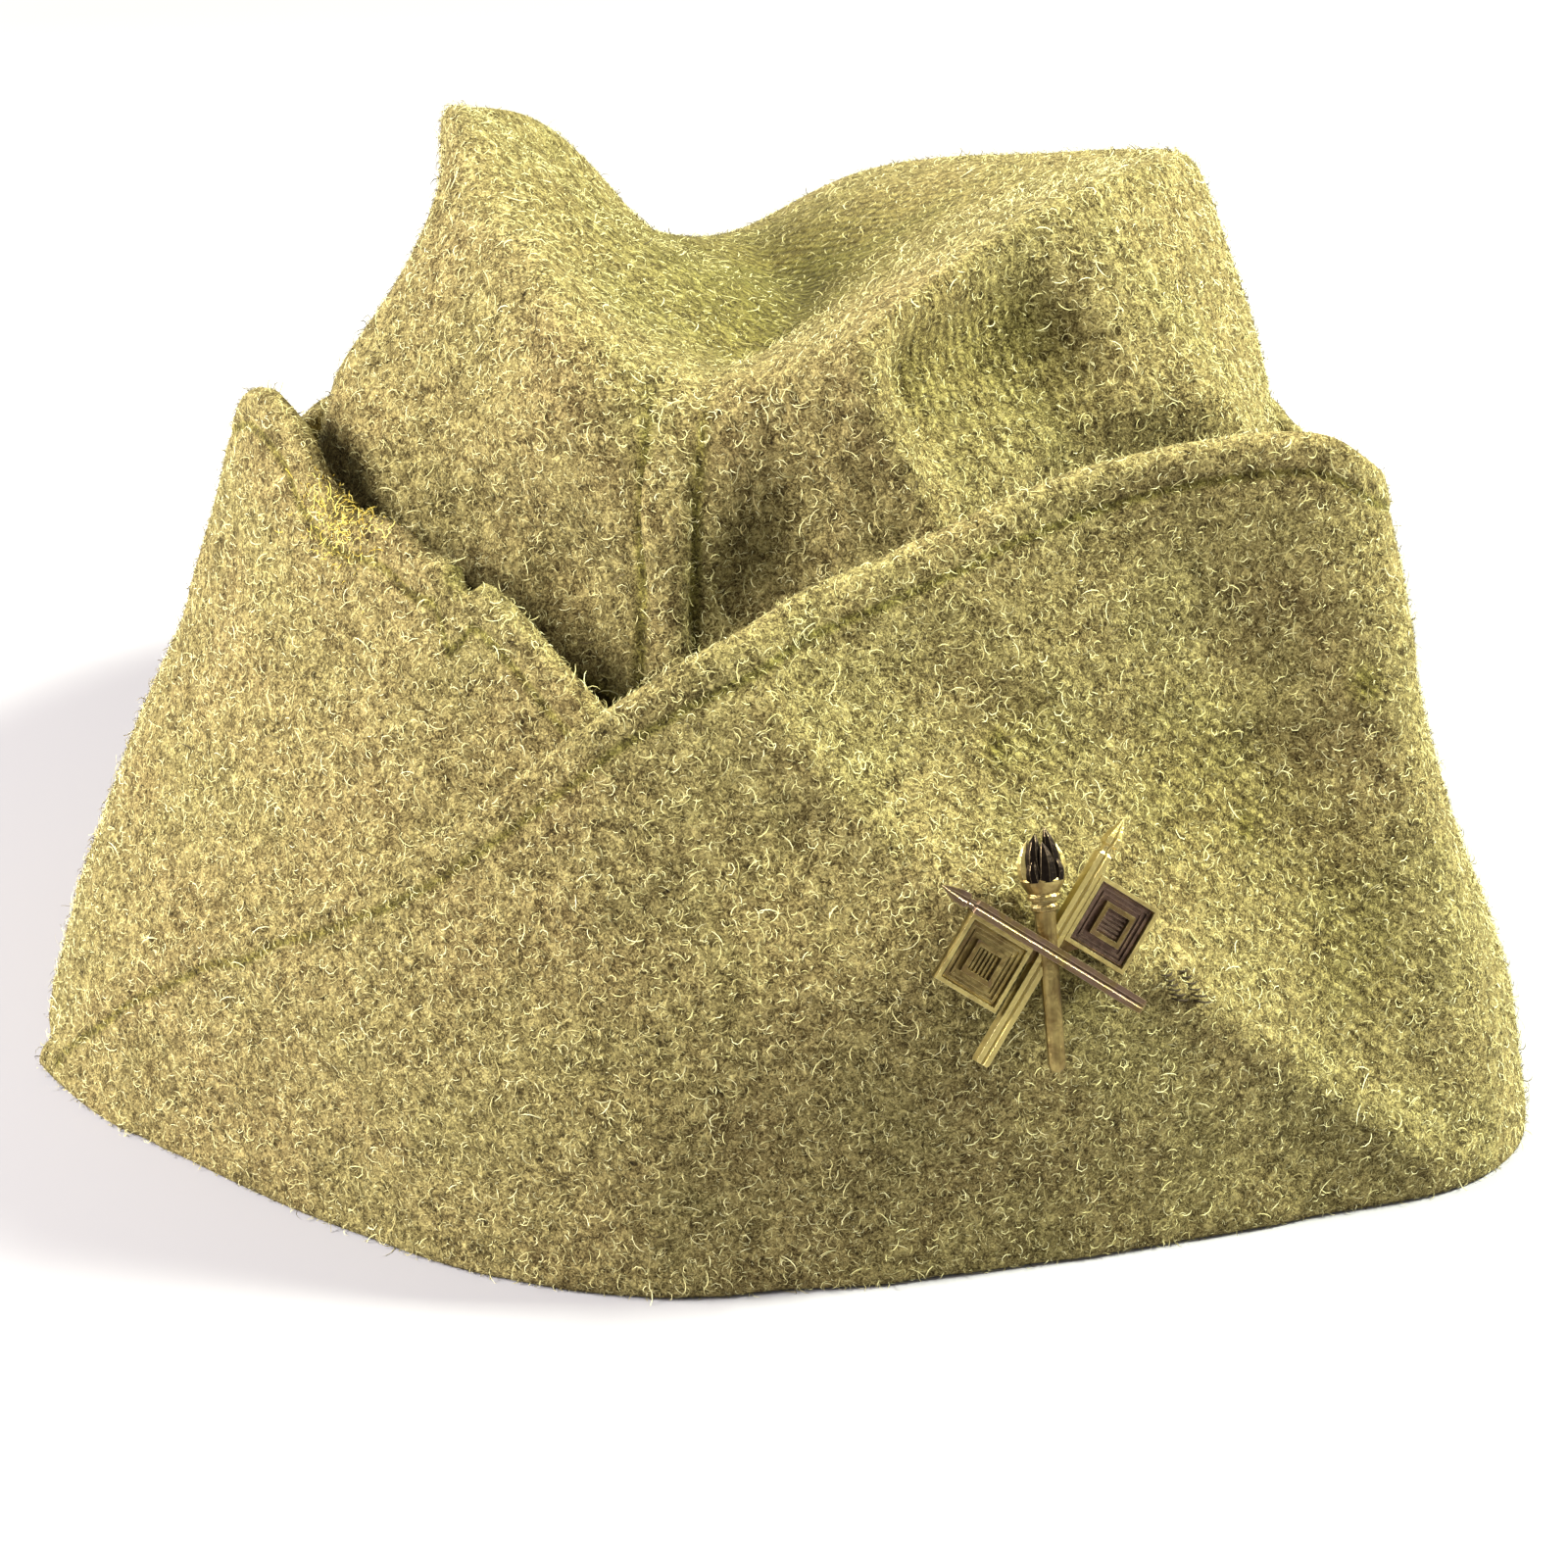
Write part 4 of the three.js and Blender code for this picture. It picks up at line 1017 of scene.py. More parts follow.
def wool(name, rib_turn):
    """Felted wool. rib_turn turns the ribs the way the panel was cut."""
    material, tree = new_material(name)
    here = add(tree, "ShaderNodeTexCoord").outputs["Object"]
    turned = add(tree, "ShaderNodeMapping", {"Vector": here, "Rotation": (0.3, 0.5, 0.9)}).outputs[0]
    fibres = add(tree, "ShaderNodeTexNoise", grains(turned, FIBRE_SIZE, 5.0, 1.4)).outputs["Fac"]
    clumps = add(tree, "ShaderNodeTexNoise", grains(turned, CLUMP_SIZE, 3.0, 0.6)).outputs["Fac"]
    areas = add(tree, "ShaderNodeTexNoise", grains(turned, WORN_SIZE, 2.0, 0.3)).outputs["Fac"]
    fine = add(tree, "ShaderNodeMath", {0: fibres, 1: 0.68}, operation="MULTIPLY").outputs[0]
    both = add(tree, "ShaderNodeMath", {0: clumps, 1: 0.32, 2: fine}, operation="MULTIPLY_ADD")
    fleck = add(tree, "ShaderNodeValToRGB", {"Fac": both.outputs[0]}, shades(FLECK_PLACES, WOOL_FLECK))
    wide = add(tree, "ShaderNodeValToRGB", {"Fac": areas}, shades(WORN_PLACES, WORN_COLOURS))
    layers = {0: 0.55, 6: fleck.outputs["Color"], 7: wide.outputs["Color"]}
    shade = add(tree, "ShaderNodeMix", layers, **SOFT_LIGHT).outputs[2]
    # Slanting bands, a little ragged, that count only where the nap is thin
    bands = add(tree, "ShaderNodeMapping", {"Vector": here, "Rotation": rib_turn}).outputs[0]
    wave = {"Vector": bands, "Scale": math.pi / (10 * RIB_STEP * MM), "Distortion": 3.5}
    ribs = add(tree, "ShaderNodeTexWave", {**wave, "Detail": 3.0, "Detail Scale": 1.2}).outputs["Fac"]
    nap_here = add(tree, "ShaderNodeAttribute", attribute_name="nap").outputs["Fac"]
    bare = add(tree, "ShaderNodeMath", {0: 1.2, 1: nap_here}, operation="SUBTRACT").outputs[0]
    rib_high = add(tree, "ShaderNodeMath", {0: ribs, 1: bare}, operation="MULTIPLY").outputs[0]
    # Cloth with little nap is painted darker: painted shade in the seams, the hem's groove, the valley,
    # the hollow under the crown's fold, round the badge and behind the flaps, and real wear where it is
    # worn
    nap_wear_and_shade_stops = [(0.0, (0.3, 0.28, 0.2, 1)), (0.3, (0.7, 0.74, 0.48, 1)), (0.9, WHITE)]
    deep = add(tree, "ShaderNodeValToRGB", {"Fac": nap_here}, nap_wear_and_shade_stops).outputs["Color"]
    shade = add(tree, "ShaderNodeMix", {0: 1.0, 6: shade, 7: deep}, **MULTIPLIED).outputs[2]
    low = add(tree, "ShaderNodeMath", {0: ribs, 1: -1.0}, operation="ADD").outputs[0]
    low = add(tree, "ShaderNodeMath", {0: low, 1: bare, 2: 1.0}, operation="MULTIPLY_ADD", use_clamp=True)
    shade = add(tree, "ShaderNodeMix", {0: 0.38, 6: shade, 7: low.outputs[0]}, **MULTIPLIED).outputs[2]
    high = add(tree, "ShaderNodeMath", {0: clumps, 1: 1.6, 2: fibres}, operation="MULTIPLY_ADD")
    high = add(tree, "ShaderNodeMath", {0: high.outputs[0], 1: rib_high}, operation="ADD")
    uneven = {"Height": high.outputs[0], "Distance": 0.35 * MM, "Strength": 0.9}
    bump = add(tree, "ShaderNodeBump", uneven).outputs["Normal"]
    felt = {"Base Color": shade, "Normal": bump, "Roughness": 0.95, "Specular IOR Level": 0.08}
    sheen = {"Sheen Weight": 0.08, "Sheen Roughness": 0.5, "Sheen Tint": colour(WOOL_FLECK[-1])}
    surface = add(tree, "ShaderNodeBsdfPrincipled", {**felt, **sheen})
    add(tree, "ShaderNodeOutputMaterial", {"Surface": surface.outputs[0]})
    return material


# Olive-drab melton, woven, felted and raised to a nap: a matt, grainy surface
melton = wool("felted wool melton", FLAP_RIBS)
# The same cloth cut another way, so its ribs slant less on the crown
crown_melton = wool("felted wool melton, crown", CROWN_RIBS)


def fibre_material(name, codes, tips):
    """Loose fibres: colour from the fibre's own tone (u) and the way along it (v)."""
    material, tree = new_material(name)
    uv = add(tree, "ShaderNodeUVMap", uv_map="OFBake").outputs["UV"]
    parts = add(tree, "ShaderNodeSeparateXYZ", {"Vector": uv}).outputs
    tones = shades(np.linspace(0, 1, len(codes)), codes)
    tone = add(tree, "ShaderNodeValToRGB", {"Fac": parts["X"]}, tones).outputs["Color"]
    # Each fibre is painted darker towards its root: painted shade where it meets the cloth
    root_shade_stops = [(0.0, (0.45, 0.45, 0.42, 1)), (tips, WHITE)]
    root = add(tree, "ShaderNodeValToRGB", {"Fac": parts["Y"]}, root_shade_stops).outputs["Color"]
    shade = add(tree, "ShaderNodeMix", {0: 1.0, 6: tone, 7: root}, **MULTIPLIED).outputs[2]
    fibre = {"Base Color": shade, "Roughness": 0.6, "Specular IOR Level": 0.12}
    surface = add(tree, "ShaderNodeBsdfPrincipled", fibre)
    add(tree, "ShaderNodeOutputMaterial", {"Surface": surface.outputs[0]})
    return material


# Loose wool fibres raised by brushing: finer and lighter than the felt, with a dull shine
FIBRE_SHADES = ("#4E4229", "#867A50", "#ACA16E", "#C8BE86", "#DCD399", "#EAE3B2")
nap_wool = fibre_material("brushed wool fibre", FIBRE_SHADES, 0.7)
for piece, felt in (
    (outer_cloth, melton),
    (under_cloth, melton),
    (crown_cloth, crown_melton),
    (welt_cloth, crown_melton),
):
    piece.data.materials.append(felt)
    print(piece.name, "is made of", felt.name)

# %% [markdown]
# ## Brass
# Cast brass turns brown and purple with age, unevenly, and stays golden where sleeves rub it. The
# attribute "tint" gives each part of the badge its own share of the tarnish, and noise breaks it up. On
# the two staffs it also holds painted light and shade: the back staff is painted lighter, as it is lit,
# and the front one darker, as it lies in shade. Painting each part by hand would also do it, but a number
# for each part can be read off the photo and changed. The small pits of the casting are a bump, because
# they are too fine for mesh.


# %% Brass materials
def brass(name, codes, roughness, pits):
    """Cast brass. The attribute "tint" moves it from purple-brown to golden."""
    material, tree = new_material(name)
    here = add(tree, "ShaderNodeTexCoord").outputs["Object"]
    grain = add(tree, "ShaderNodeTexNoise", grains(here, 0.5, 4.0, 0.4)).outputs["Fac"]
    blotch = add(tree, "ShaderNodeTexNoise", grains(here, 2.4, 3.0, 0.5)).outputs["Fac"]
    tinted = add(tree, "ShaderNodeAttribute", attribute_name="tint").outputs["Fac"]
    sums = add(tree, "ShaderNodeMath", {0: blotch, 1: 0.8, 2: tinted}, operation="MULTIPLY_ADD")
    tone = add(tree, "ShaderNodeMath", {0: sums.outputs[0], 1: 0.4}, operation="SUBTRACT").outputs[0]
    shade = add(tree, "ShaderNodeValToRGB", {"Fac": tone}, shades((0.0, 0.28, 0.5, 0.9), codes))
    spread = {0: grain, 1: 0.35, 2: roughness - 0.17}
    rough = add(tree, "ShaderNodeMath", spread, operation="MULTIPLY_ADD").outputs[0]
    bump = add(tree, "ShaderNodeBump", {"Height": grain, "Distance": pits * MM}).outputs["Normal"]
    metal = {"Base Color": shade.outputs["Color"], "Metallic": 1.0, "Roughness": rough, "Normal": bump}
    surface = add(tree, "ShaderNodeBsdfPrincipled", metal)
    add(tree, "ShaderNodeOutputMaterial", {"Surface": surface.outputs[0]})
    return material


# Cast brass, brown with tarnish: a rough, dark metal that still mirrors broad lights
TARNISH = ("#1E1814", "#705A4E", "#6E5B38", "#B8A66A")
tarnished = brass("tarnished cast brass", TARNISH, 0.38, 0.1)
# The same brass where sleeves and polish have rubbed it: smoother and golden
POLISH = ("#8C7A5C", "#B8A286", "#C8B680", "#EEE2AC")
rubbed = brass("rubbed brass edge", POLISH, 0.28, 0.03)
for coat in (tarnished, rubbed):
    badge.data.materials.append(coat)
edge = badge.modifiers.new("rounded edges", "BEVEL")
edge.width, edge.segments, edge.limit_method = 0.09 * MM, 2, "ANGLE"
edge.angle_limit, edge.material = math.radians(38), 1
finished(badge)
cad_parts["badge_clasp"].material_slots[0].material = tarnished
print("badge:", len(badge.data.polygons), "faces")

# %% [markdown]
# ## The nap
# Brushed wool has a short nap of loose, curly fibres that catch the light at every edge. Geometry
# Nodes scatter three dozen different flat fibres over the cloth. Points are spread where the
# attribute "nap" allows them, each point gets one of the fibres, a random turn about the cloth's
# normal, a size and a tone. At the end the instances become real mesh. The UV map "OFBake" then
# holds the tone across and the way along the fibre, and the colour depends on nothing else. Hair
# curves would be finer, but only mesh is kept for other programs, so the fibres are flat strips.

# %% Fibre shapes
quick_share = 1.0
FIBRE_LONG, FIBRE_WIDE, FIBRE_KINDS = 1.25, 0.1, 36
# A fibre is bent in two parts, every fifth one in four, which makes 2.4 on average
SHORT_PARTS, LONG_PARTS, LONG_EVERY, MEAN_PARTS = 2, 4, 5, 2.4
fibre_random = np.random.default_rng(11)


def curled_fibre(index):
    """One flat fibre that rises from the cloth, curls and comes down again."""
    heading = fibre_random.uniform(-0.4, 0.4)
    curl = fibre_random.choice([-1, 1]) * fibre_random.uniform(0.35, 1.25)
    rise = fibre_random.uniform(0.3, 0.75)
    n = SHORT_PARTS if index % LONG_EVERY else LONG_PARTS
    part_long = FIBRE_LONG * fibre_random.uniform(0.65, 1.25) / MEAN_PARTS
    spot, left, right = np.array([0.0, 0.0, -0.12]), [], []
    for k in range(n + 1):
        tilt = rise * (1 - 1.45 * k / n)
        way = [math.cos(heading) * math.cos(tilt), math.sin(heading) * math.cos(tilt)]
        way = np.array([*way, math.sin(tilt)])
        wide = FIBRE_WIDE * (1 - 0.35 * k / n) / 2
        side = np.array([-math.sin(heading), math.cos(heading), 0.35]) * wide
        left.append(spot + side)
        right.append(spot - side)
        spot = spot + way * part_long
        heading += curl
    points = left[:-1] + right[:-1] + [(left[-1] + right[-1]) / 2]
    faces = [(k, n + k, n + k + 1, k + 1) for k in range(n - 1)] + [(n - 1, 2 * n - 1, 2 * n)]
    piece = mesh_piece(f"fibre {index}", points, faces)
    uv = piece.data.uv_layers.new(name="OFBake")
    for loop in piece.data.loops:
        k = loop.vertex_index
        side = 0 if k == 2 * n else (1 if k < n else -1)
        uv.data[loop.index].uv = (0.004 * side, (n if k == 2 * n else k % n) / n)
    return piece


def shape_collection(name, shapes):
    """Puts shapes in a collection outside the scene, for Geometry Nodes to pick from."""
    group = bpy.data.collections.new(name)
    for shape in shapes:
        group.objects.link(shape)
        bpy.context.scene.collection.objects.unlink(shape)
    return group


fibre_shapes = shape_collection("fibres", [curled_fibre(k) for k in range(FIBRE_KINDS)])


# %% The scattering trees
def node_group(name, sockets):
    """A Geometry Nodes group with named inputs. Returns the tree and the input node's outputs."""
    tree = bpy.data.node_groups.new(name, "GeometryNodeTree")
    tree.interface.new_socket(name="Geometry", in_out="INPUT", socket_type="NodeSocketGeometry")
    for label, kind in sockets:
        tree.interface.new_socket(name=label, in_out="INPUT", socket_type="NodeSocket" + kind)
    tree.interface.new_socket(name="Geometry", in_out="OUTPUT", socket_type="NodeSocketGeometry")
    return tree, add(tree, "NodeGroupInput").outputs


def finish_group(tree, geometry, material):
    """Makes the instances real mesh and gives them their material."""
    real = add(tree, "GeometryNodeRealizeInstances", {"Geometry": geometry}).outputs[0]
    return add(tree, "GeometryNodeSetMaterial", {"Geometry": real, "Material": material}).outputs[0]


def nap_tree():
    """Spreads fibres over a mesh as its attribute "nap" says."""
    sockets = [("Fibres per square metre", "Float"), ("Seed", "Int")]
    sockets += [("Fibres", "Collection"), ("Material", "Material")]
    tree, given = node_group("nap", sockets)
    share = add(tree, "GeometryNodeInputNamedAttribute", {"Name": "nap"}, data_type="FLOAT")
    wanted = {0: share.outputs["Attribute"], 1: given["Fibres per square metre"]}
    density = add(tree, "ShaderNodeMath", wanted, operation="MULTIPLY").outputs[0]
    cloth = {"Mesh": given["Geometry"], "Density": density, "Seed": given["Seed"]}
    spread = add(tree, "GeometryNodeDistributePointsOnFaces", cloth).outputs
    tone = add(tree, "FunctionNodeRandomValue", {2: 0.0, 3: 1.0, "Seed": 21}, data_type="FLOAT")
    kept = {"Geometry": spread["Points"], "Name": "tone", "Value": tone.outputs[1]}
    kept = add(tree, "GeometryNodeStoreNamedAttribute", kept, data_type="FLOAT", domain="POINT")
    turns = {0: (-0.25, -0.25, 0.0), 1: (0.25, 0.25, 2 * math.pi), "Seed": 22}
    turn = add(tree, "FunctionNodeRandomValue", turns, data_type="FLOAT_VECTOR").outputs[0]
    turn = {"Rotation": spread["Rotation"], "Rotate By": turn}
    turned = add(tree, "FunctionNodeRotateRotation", turn, rotation_space="LOCAL").outputs[0]
    apart = {"Separate Children": True, "Reset Children": True}
    shapes = add(tree, "GeometryNodeCollectionInfo", {"Collection": given["Fibres"], **apart})
    kinds = {4: 0, 5: FIBRE_KINDS - 1, "Seed": 23}
    kind = add(tree, "FunctionNodeRandomValue", kinds, data_type="INT").outputs[2]
    size = add(tree, "FunctionNodeRandomValue", {2: 0.7, 3: 1.25, "Seed": 24}, data_type="FLOAT")
    fibre = {"Points": kept.outputs[0], "Instance": shapes.outputs[0], "Pick Instance": True}
    fibre.update({"Instance Index": kind, "Rotation": turned, "Scale": size.outputs[1]})
    placed = add(tree, "GeometryNodeInstanceOnPoints", fibre).outputs[0]
    last = finish_group(tree, placed, given["Material"])
    along_it = add(tree, "GeometryNodeInputNamedAttribute", {"Name": "OFBake"}, data_type="FLOAT_VECTOR")
    its_tone = add(tree, "GeometryNodeInputNamedAttribute", {"Name": "tone"}, data_type="FLOAT")
    shift = add(tree, "ShaderNodeCombineXYZ", {"X": its_tone.outputs["Attribute"]}).outputs[0]
    moved = {0: along_it.outputs["Attribute"], 1: shift}
    moved = add(tree, "ShaderNodeVectorMath", moved, operation="ADD").outputs[0]
    stored = {"Geometry": last, "Name": "OFBake", "Value": moved}
    stored = add(tree, "GeometryNodeStoreNamedAttribute", stored, data_type="FLOAT2", domain="CORNER")
    add(tree, "NodeGroupOutput", {"Geometry": stored.outputs[0]})
    return tree


nap_group = nap_tree()
print("nap tree:", len(nap_group.nodes), "nodes")


# %% Grow the nap
def front_half(spots):
    return spots[:, 1] < 0


def back_half(spots):
    return spots[:, 1] >= 0


def scatter(name, source, group, values, where=None):
    """A new piece made by a Geometry Nodes group from the mesh of another piece."""
    piece = bpy.data.objects.new(name, source.data.copy())
    bpy.context.scene.collection.objects.link(piece)
    if where is not None:
        count = len(piece.data.vertices)
        spots, kept = np.empty(count * 3), np.empty(count)
        piece.data.vertices.foreach_get("co", spots)
        nap_data = piece.data.attributes["nap"].data
        nap_data.foreach_get("value", kept)
        nap_data.foreach_set("value", kept * where(spots.reshape(-1, 3) / MM))
    modifier = piece.modifiers.new(name, "NODES")
    modifier.node_group = group
    for item in group.interface.items_tree:
        if item.name in values and item.in_out == "INPUT":
            modifier[item.identifier] = values[item.name]
    finished(piece)
    return piece


def grow_nap(source, name, density, seed, where=None, material=nap_wool):
    """Nap for a piece, or only where a function of its points says so."""
    values = {"Fibres per square metre": density * quick_share, "Seed": seed}
    values.update({"Fibres": fibre_shapes, "Material": material})
    nap = scatter(name, source, nap_group, values, where)
    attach(nap, "root")
    print(nap.name, "faces:", len(nap.data.polygons))
    return nap


FRAY_ANGLE, FRAY_HEIGHT, FRAY_SIZE = -32.5, 73.5, 4.0
fray_spot = under_face(np.array(FRAY_ANGLE), np.array(FRAY_HEIGHT))


def near_fray(spots):
    """One at the frayed place of the under flap, and zero a few millimetres from it."""
    return np.exp(-(((spots - fray_spot) / FRAY_SIZE) ** 2).sum(1))


# Frayed yarn ends, bleached by light: paler and more yellow than the nap
frayed_yarn = fibre_material("frayed wool yarn", ("#B89C3C", "#E0C85C", "#F6E88C"), 0.2)
PER_MM2 = 1e6
naps = [
    grow_nap(outer_cloth, "outer_flap_nap_front", 2.9 * PER_MM2, 1, front_half),
    grow_nap(outer_cloth, "outer_flap_nap_back", 2.0 * PER_MM2, 5, back_half),
    grow_nap(under_cloth, "under_flap_nap", 2.6 * PER_MM2, 2),
    grow_nap(crown_cloth, "crown_nap_front", 2.9 * PER_MM2, 3, front_half),
    grow_nap(crown_cloth, "crown_nap_back", 2.0 * PER_MM2, 6, back_half),
    grow_nap(welt_cloth, "front_welt_nap", 2.9 * PER_MM2, 4),
    grow_nap(under_cloth, "frayed_edge", 12.0 * PER_MM2, 8, near_fray, frayed_yarn),
]

# %% [markdown]
# ## Stitches
# The hems and the front seam are sewn with thick cotton, and a few dark threads beside the badge
# look like a mend. A stitch is one short thread that dives into the cloth at both ends. A second
# group puts it on every point of a line and turns it along that line. An array along a curve
# would do the same, but points can be laid exactly on the folded cloth.

# %% Stitch shapes and their tree
STITCH_LONG, STITCH_WIDE, STITCH_STEP = 2.0, 0.34, 2.9
STITCH_ROWS, STITCH_SIDES = 7, 6


def stitch_shape():
    """One stitch: a short thread that dives into the cloth at both ends."""
    rings = []
    for x in np.linspace(-1, 1, STITCH_ROWS):
        thick = STITCH_WIDE / 2 * (0.55 + 0.45 * math.sqrt(1 - x * x))
        turns = np.linspace(0, 2 * math.pi, STITCH_SIDES, endpoint=False)
        spots = [(0.8 * thick * math.cos(a), thick * math.sin(a)) for a in turns]
        lift = 0.18 - 0.4 * x * x
        rings.append([(x * STITCH_LONG / 2, y, lift + z) for y, z in spots])
    faces = ring_faces(STITCH_ROWS, STITCH_SIDES) + end_faces(STITCH_ROWS, STITCH_SIDES)
    return mesh_piece("stitch", np.array(rings).reshape(-1, 3), faces)


stitch_shapes = shape_collection("stitches", [stitch_shape()])


def row_tree():
    """Puts a shape on every point of a mesh, turned as the attribute "turn" says."""
    sockets = [("Shapes", "Collection"), ("Size", "Float"), ("Seed", "Int")]
    tree, given = node_group("row of shapes", [*sockets, ("Material", "Material")])
    turn = add(tree, "GeometryNodeInputNamedAttribute", {"Name": "turn"}, data_type="FLOAT_VECTOR")
    rotation = add(tree, "FunctionNodeEulerToRotation", {"Euler": turn.outputs["Attribute"]})
    apart = {"Separate Children": True, "Reset Children": True}
    shapes = add(tree, "GeometryNodeCollectionInfo", {"Collection": given["Shapes"], **apart})
    sizes = {2: 0.85, 3: 1.15, "Seed": given["Seed"]}
    size = add(tree, "FunctionNodeRandomValue", sizes, data_type="FLOAT").outputs[1]
    size = add(tree, "ShaderNodeMath", {0: size, 1: given["Size"]}, operation="MULTIPLY").outputs[0]
    stitch = {"Points": given["Geometry"], "Instance": shapes.outputs[0], "Pick Instance": True}
    stitch.update({"Rotation": rotation.outputs[0], "Scale": size})
    placed = add(tree, "GeometryNodeInstanceOnPoints", stitch).outputs[0]
    coated = finish_group(tree, placed, given["Material"])
    add(tree, "NodeGroupOutput", {"Geometry": coated})
    return tree


row_group = row_tree()
print("row tree:", len(row_group.nodes), "nodes")


# %% Sew the seams
def sewing_line(face, height, angle, z, sunk):
    """Points on a wall, and the turns that lay a shape along the line that they form."""
    at = inward(face, angle, z, sunk - height(angle, z))
    run = np.gradient(at, axis=0)
    run /= np.linalg.norm(run, axis=1, keepdims=True)
    square = level_out(face, angle, z)
    square -= run * (square * run).sum(1, keepdims=True)
    square /= np.linalg.norm(square, axis=1, keepdims=True)
    turns = [Matrix(np.array([r, np.cross(n, r), n]).T).to_euler() for r, n in zip(run, square)]
    return at, np.array([list(t) for t in turns])


def sew(name, lines, size, thread):
    """A row of stitches from one or more sewing lines."""
    at = np.concatenate([line[0] for line in lines])
    turns = np.concatenate([line[1] for line in lines]).astype(np.float32)
    guide = mesh_piece(name + " guide", at, [])
    kept = guide.data.attributes.new("turn", "FLOAT_VECTOR", "POINT")
    kept.data.foreach_set("vector", turns.ravel())
    values = {"Shapes": stitch_shapes, "Size": size, "Seed": 31, "Material": thread}
    row = scatter(name, guide, row_group, values)
    bpy.data.objects.remove(guide)
    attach(row, "root")
    print(name, "stitches:", len(at))
    return row


def hem_stitches(face, height, top, start, end):
    """The sewing line under a flap's edge, between two angles."""
    angle = spaced_angles(start, end, STITCH_STEP)
    z = top(angle) - HEM_LINE * edge_stretch(top, angle)
    return sewing_line(face, height, angle, z, HEM_GROOVE - 0.1 + 0 * angle)


def plain_thread(name, code):
    """Spun thread of one colour."""
    material, tree = new_material(name)
    thread = {"Base Color": colour(code), "Roughness": 0.8, "Specular IOR Level": 0.2}
    surface = add(tree, "ShaderNodeBsdfPrincipled", thread)
    add(tree, "ShaderNodeOutputMaterial", {"Surface": surface.outputs[0]})
    return material


# Spun cotton thread, dyed olive: duller and darker than the wool that it holds
olive_thread = plain_thread("olive sewing thread", "#5C5330")
dark_thread = plain_thread("dark mending thread", "#33291A")
outer_hem = hem_stitches(flap_face, flap_relief, outer_top, FLAP_END + 4, 179)
hem_outer = sew("outer_hem_stitches", [outer_hem], 1.0, olive_thread)
under_hem = hem_stitches(under_face, under_relief, under_top, -179, -2)
hem_under = sew("under_hem_stitches", [under_hem], 1.0, olive_thread)

SEAM_STEP, SEAM_TOP, SEAM_SUNK = 2.4, 84.0, 0.75
seam_z = np.arange(WELT_LOW, SEAM_TOP, SEAM_STEP)
seam_middle, seam_per_mm = welt_lines(seam_z)
seam_rows = []
for side in (-1, 1):
    seam_angle = seam_middle + side * seam_per_mm * (WELT_WIDTH / 2 + 0.35)
    seam_rows.append(sewing_line(crown_face, crown_relief, seam_angle, seam_z, SEAM_SUNK + 0 * seam_z))
welt_stitches = sew("front_seam_stitches", seam_rows, 0.85, olive_thread)

# Six short threads, one under the other, that lie on the nap beside the badge
MEND_COUNT, MEND_ANGLE, MEND_HEIGHT = 6, 36.6, 33.6
mend_lines = []
for k in range(MEND_COUNT):
    mend_angle = MEND_ANGLE + 0.18 * k + np.array([0.0, 1.5])
    mend_z = MEND_HEIGHT - 0.62 * k + np.array([0.0, -0.5])
    mend_sunk = np.array([-0.2, -0.25])
    mend_lines.append(sewing_line(flap_face, flap_relief, mend_angle, mend_z, mend_sunk))
mending = sew("mending_stitches", mend_lines, 0.9, dark_thread)

# %% [markdown]
# ## Camera, light and floor
# Blender's Standard view shows a colour as it is, so that the sRGB colours of the materials come
# out as they were chosen. The camera stands where the photo was taken from: ten degrees to the
# wearer's left of straight ahead, looking down at 26 degrees from about half a metre. A small
# lamp on the wearer's left throws the crisp shadows, a broad one in front on the other side
# softens them, and a pale world fills them. One picture of a room as the world would be simpler,
# but each lamp can be matched to its own shadow in the photo.

# %% Camera, lights and floor
TARGET = Vector((0.2, -11.6, 20.7)) * MM
TO_CAMERA = Vector((0.1561, -0.8851, 0.4384))
DISTANCE, SENSOR, LENS = 0.480, 36.0, 90.72

camera_data = bpy.data.cameras.new("camera")
camera_data.sensor_width, camera_data.lens = SENSOR, LENS
camera = bpy.data.objects.new("camera", camera_data)
camera.location = TARGET + TO_CAMERA * DISTANCE
camera.rotation_euler = (-TO_CAMERA).to_track_quat("-Z", "Y").to_euler()
bpy.context.scene.collection.objects.link(camera)
bpy.context.scene.camera = camera
bpy.context.scene.view_settings.view_transform = "Standard"


def soft_lamp(name, place, size, power, shade):
    """A square area lamp that faces the cap."""
    data = bpy.data.lights.new(name, "AREA")
    data.shape, data.size, data.energy, data.color = "SQUARE", size, power, shade
    lamp = bpy.data.objects.new(name, data)
    lamp.location = place
    lamp.rotation_euler = (TARGET - Vector(place)).to_track_quat("-Z", "Y").to_euler()
    bpy.context.scene.collection.objects.link(lamp)


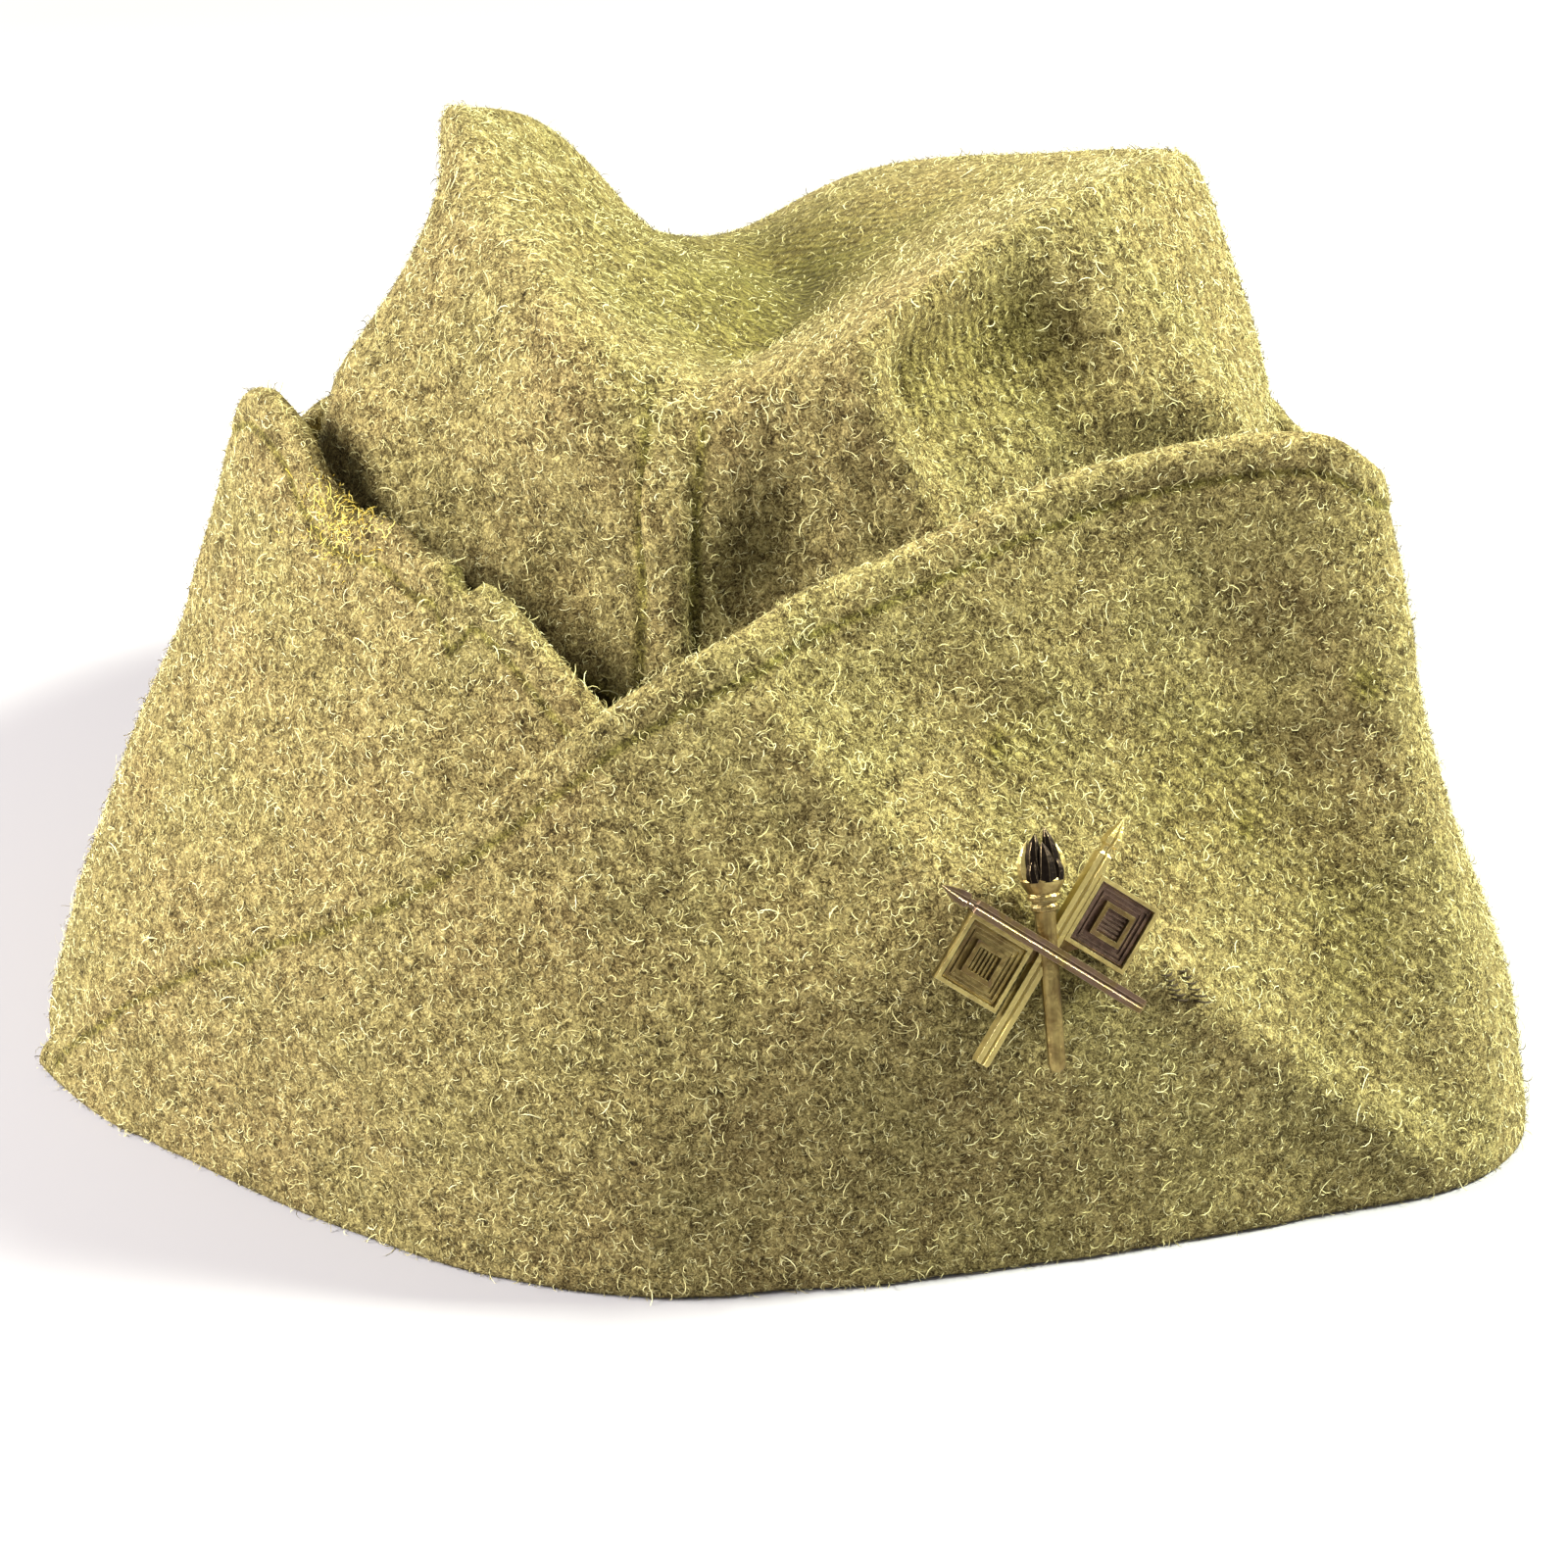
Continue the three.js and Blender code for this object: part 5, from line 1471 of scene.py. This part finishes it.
soft_lamp("key lamp", (0.71, 0.14, 0.68), 0.2, 37, (0.95, 1.0, 0.82))
soft_lamp("left lamp", (-0.76, -0.34, 0.52), 0.45, 31, (1.0, 0.97, 0.9))

world = bpy.data.worlds.new("pale room")
world.use_nodes = True
room = world.node_tree
look = add(room, "ShaderNodeTexCoord").outputs["Generated"]
overhead = add(room, "ShaderNodeSeparateXYZ", {"Vector": look}).outputs["Z"]
# The room is a little brighter overhead than at its walls
room_light = [(0.0, (0.42, 0.415, 0.405, 1)), (0.9, (0.56, 0.56, 0.53, 1))]
walls_to_ceiling = add(room, "ShaderNodeValToRGB", {"Fac": overhead}, room_light)
room.links.new(walls_to_ceiling.outputs["Color"], room.nodes["Background"].inputs["Color"])
bpy.context.scene.world = world

FLOOR_HALF = 3.0
floor_corners = [(-1, -1), (1, -1), (1, 1), (-1, 1)]
floor_mesh = bpy.data.meshes.new("floor")
floor_points = [(x * FLOOR_HALF, y * FLOOR_HALF, 0) for x, y in floor_corners]
floor_mesh.from_pydata(floor_points, [], [(0, 1, 2, 3)])
floor = bpy.data.objects.new("floor", floor_mesh)
bpy.context.scene.collection.objects.link(floor)
paper, paper_tree = new_material("pale paper")
# Far from the cap the paper glows, so that it stays white where the lamps no longer reach
paper_place = add(paper_tree, "ShaderNodeTexCoord").outputs["Object"]
far = add(paper_tree, "ShaderNodeVectorMath", {0: paper_place}, operation="LENGTH")
reach = {"Value": far.outputs["Value"], "From Min": 0.45, "From Max": 1.3, "To Max": 0.85}
glow = add(paper_tree, "ShaderNodeMapRange", reach).outputs["Result"]
matt_grey = {"Base Color": colour("#9C9AA0"), "Roughness": 0.9, "Specular IOR Level": 0.0}
glowing = {"Emission Color": WHITE, "Emission Strength": glow}
matt = add(paper_tree, "ShaderNodeBsdfPrincipled", {**matt_grey, **glowing})
add(paper_tree, "ShaderNodeOutputMaterial", {"Surface": matt.outputs[0]})
floor_mesh.materials.append(paper)
print("camera at:", [round(c, 4) for c in camera.location])
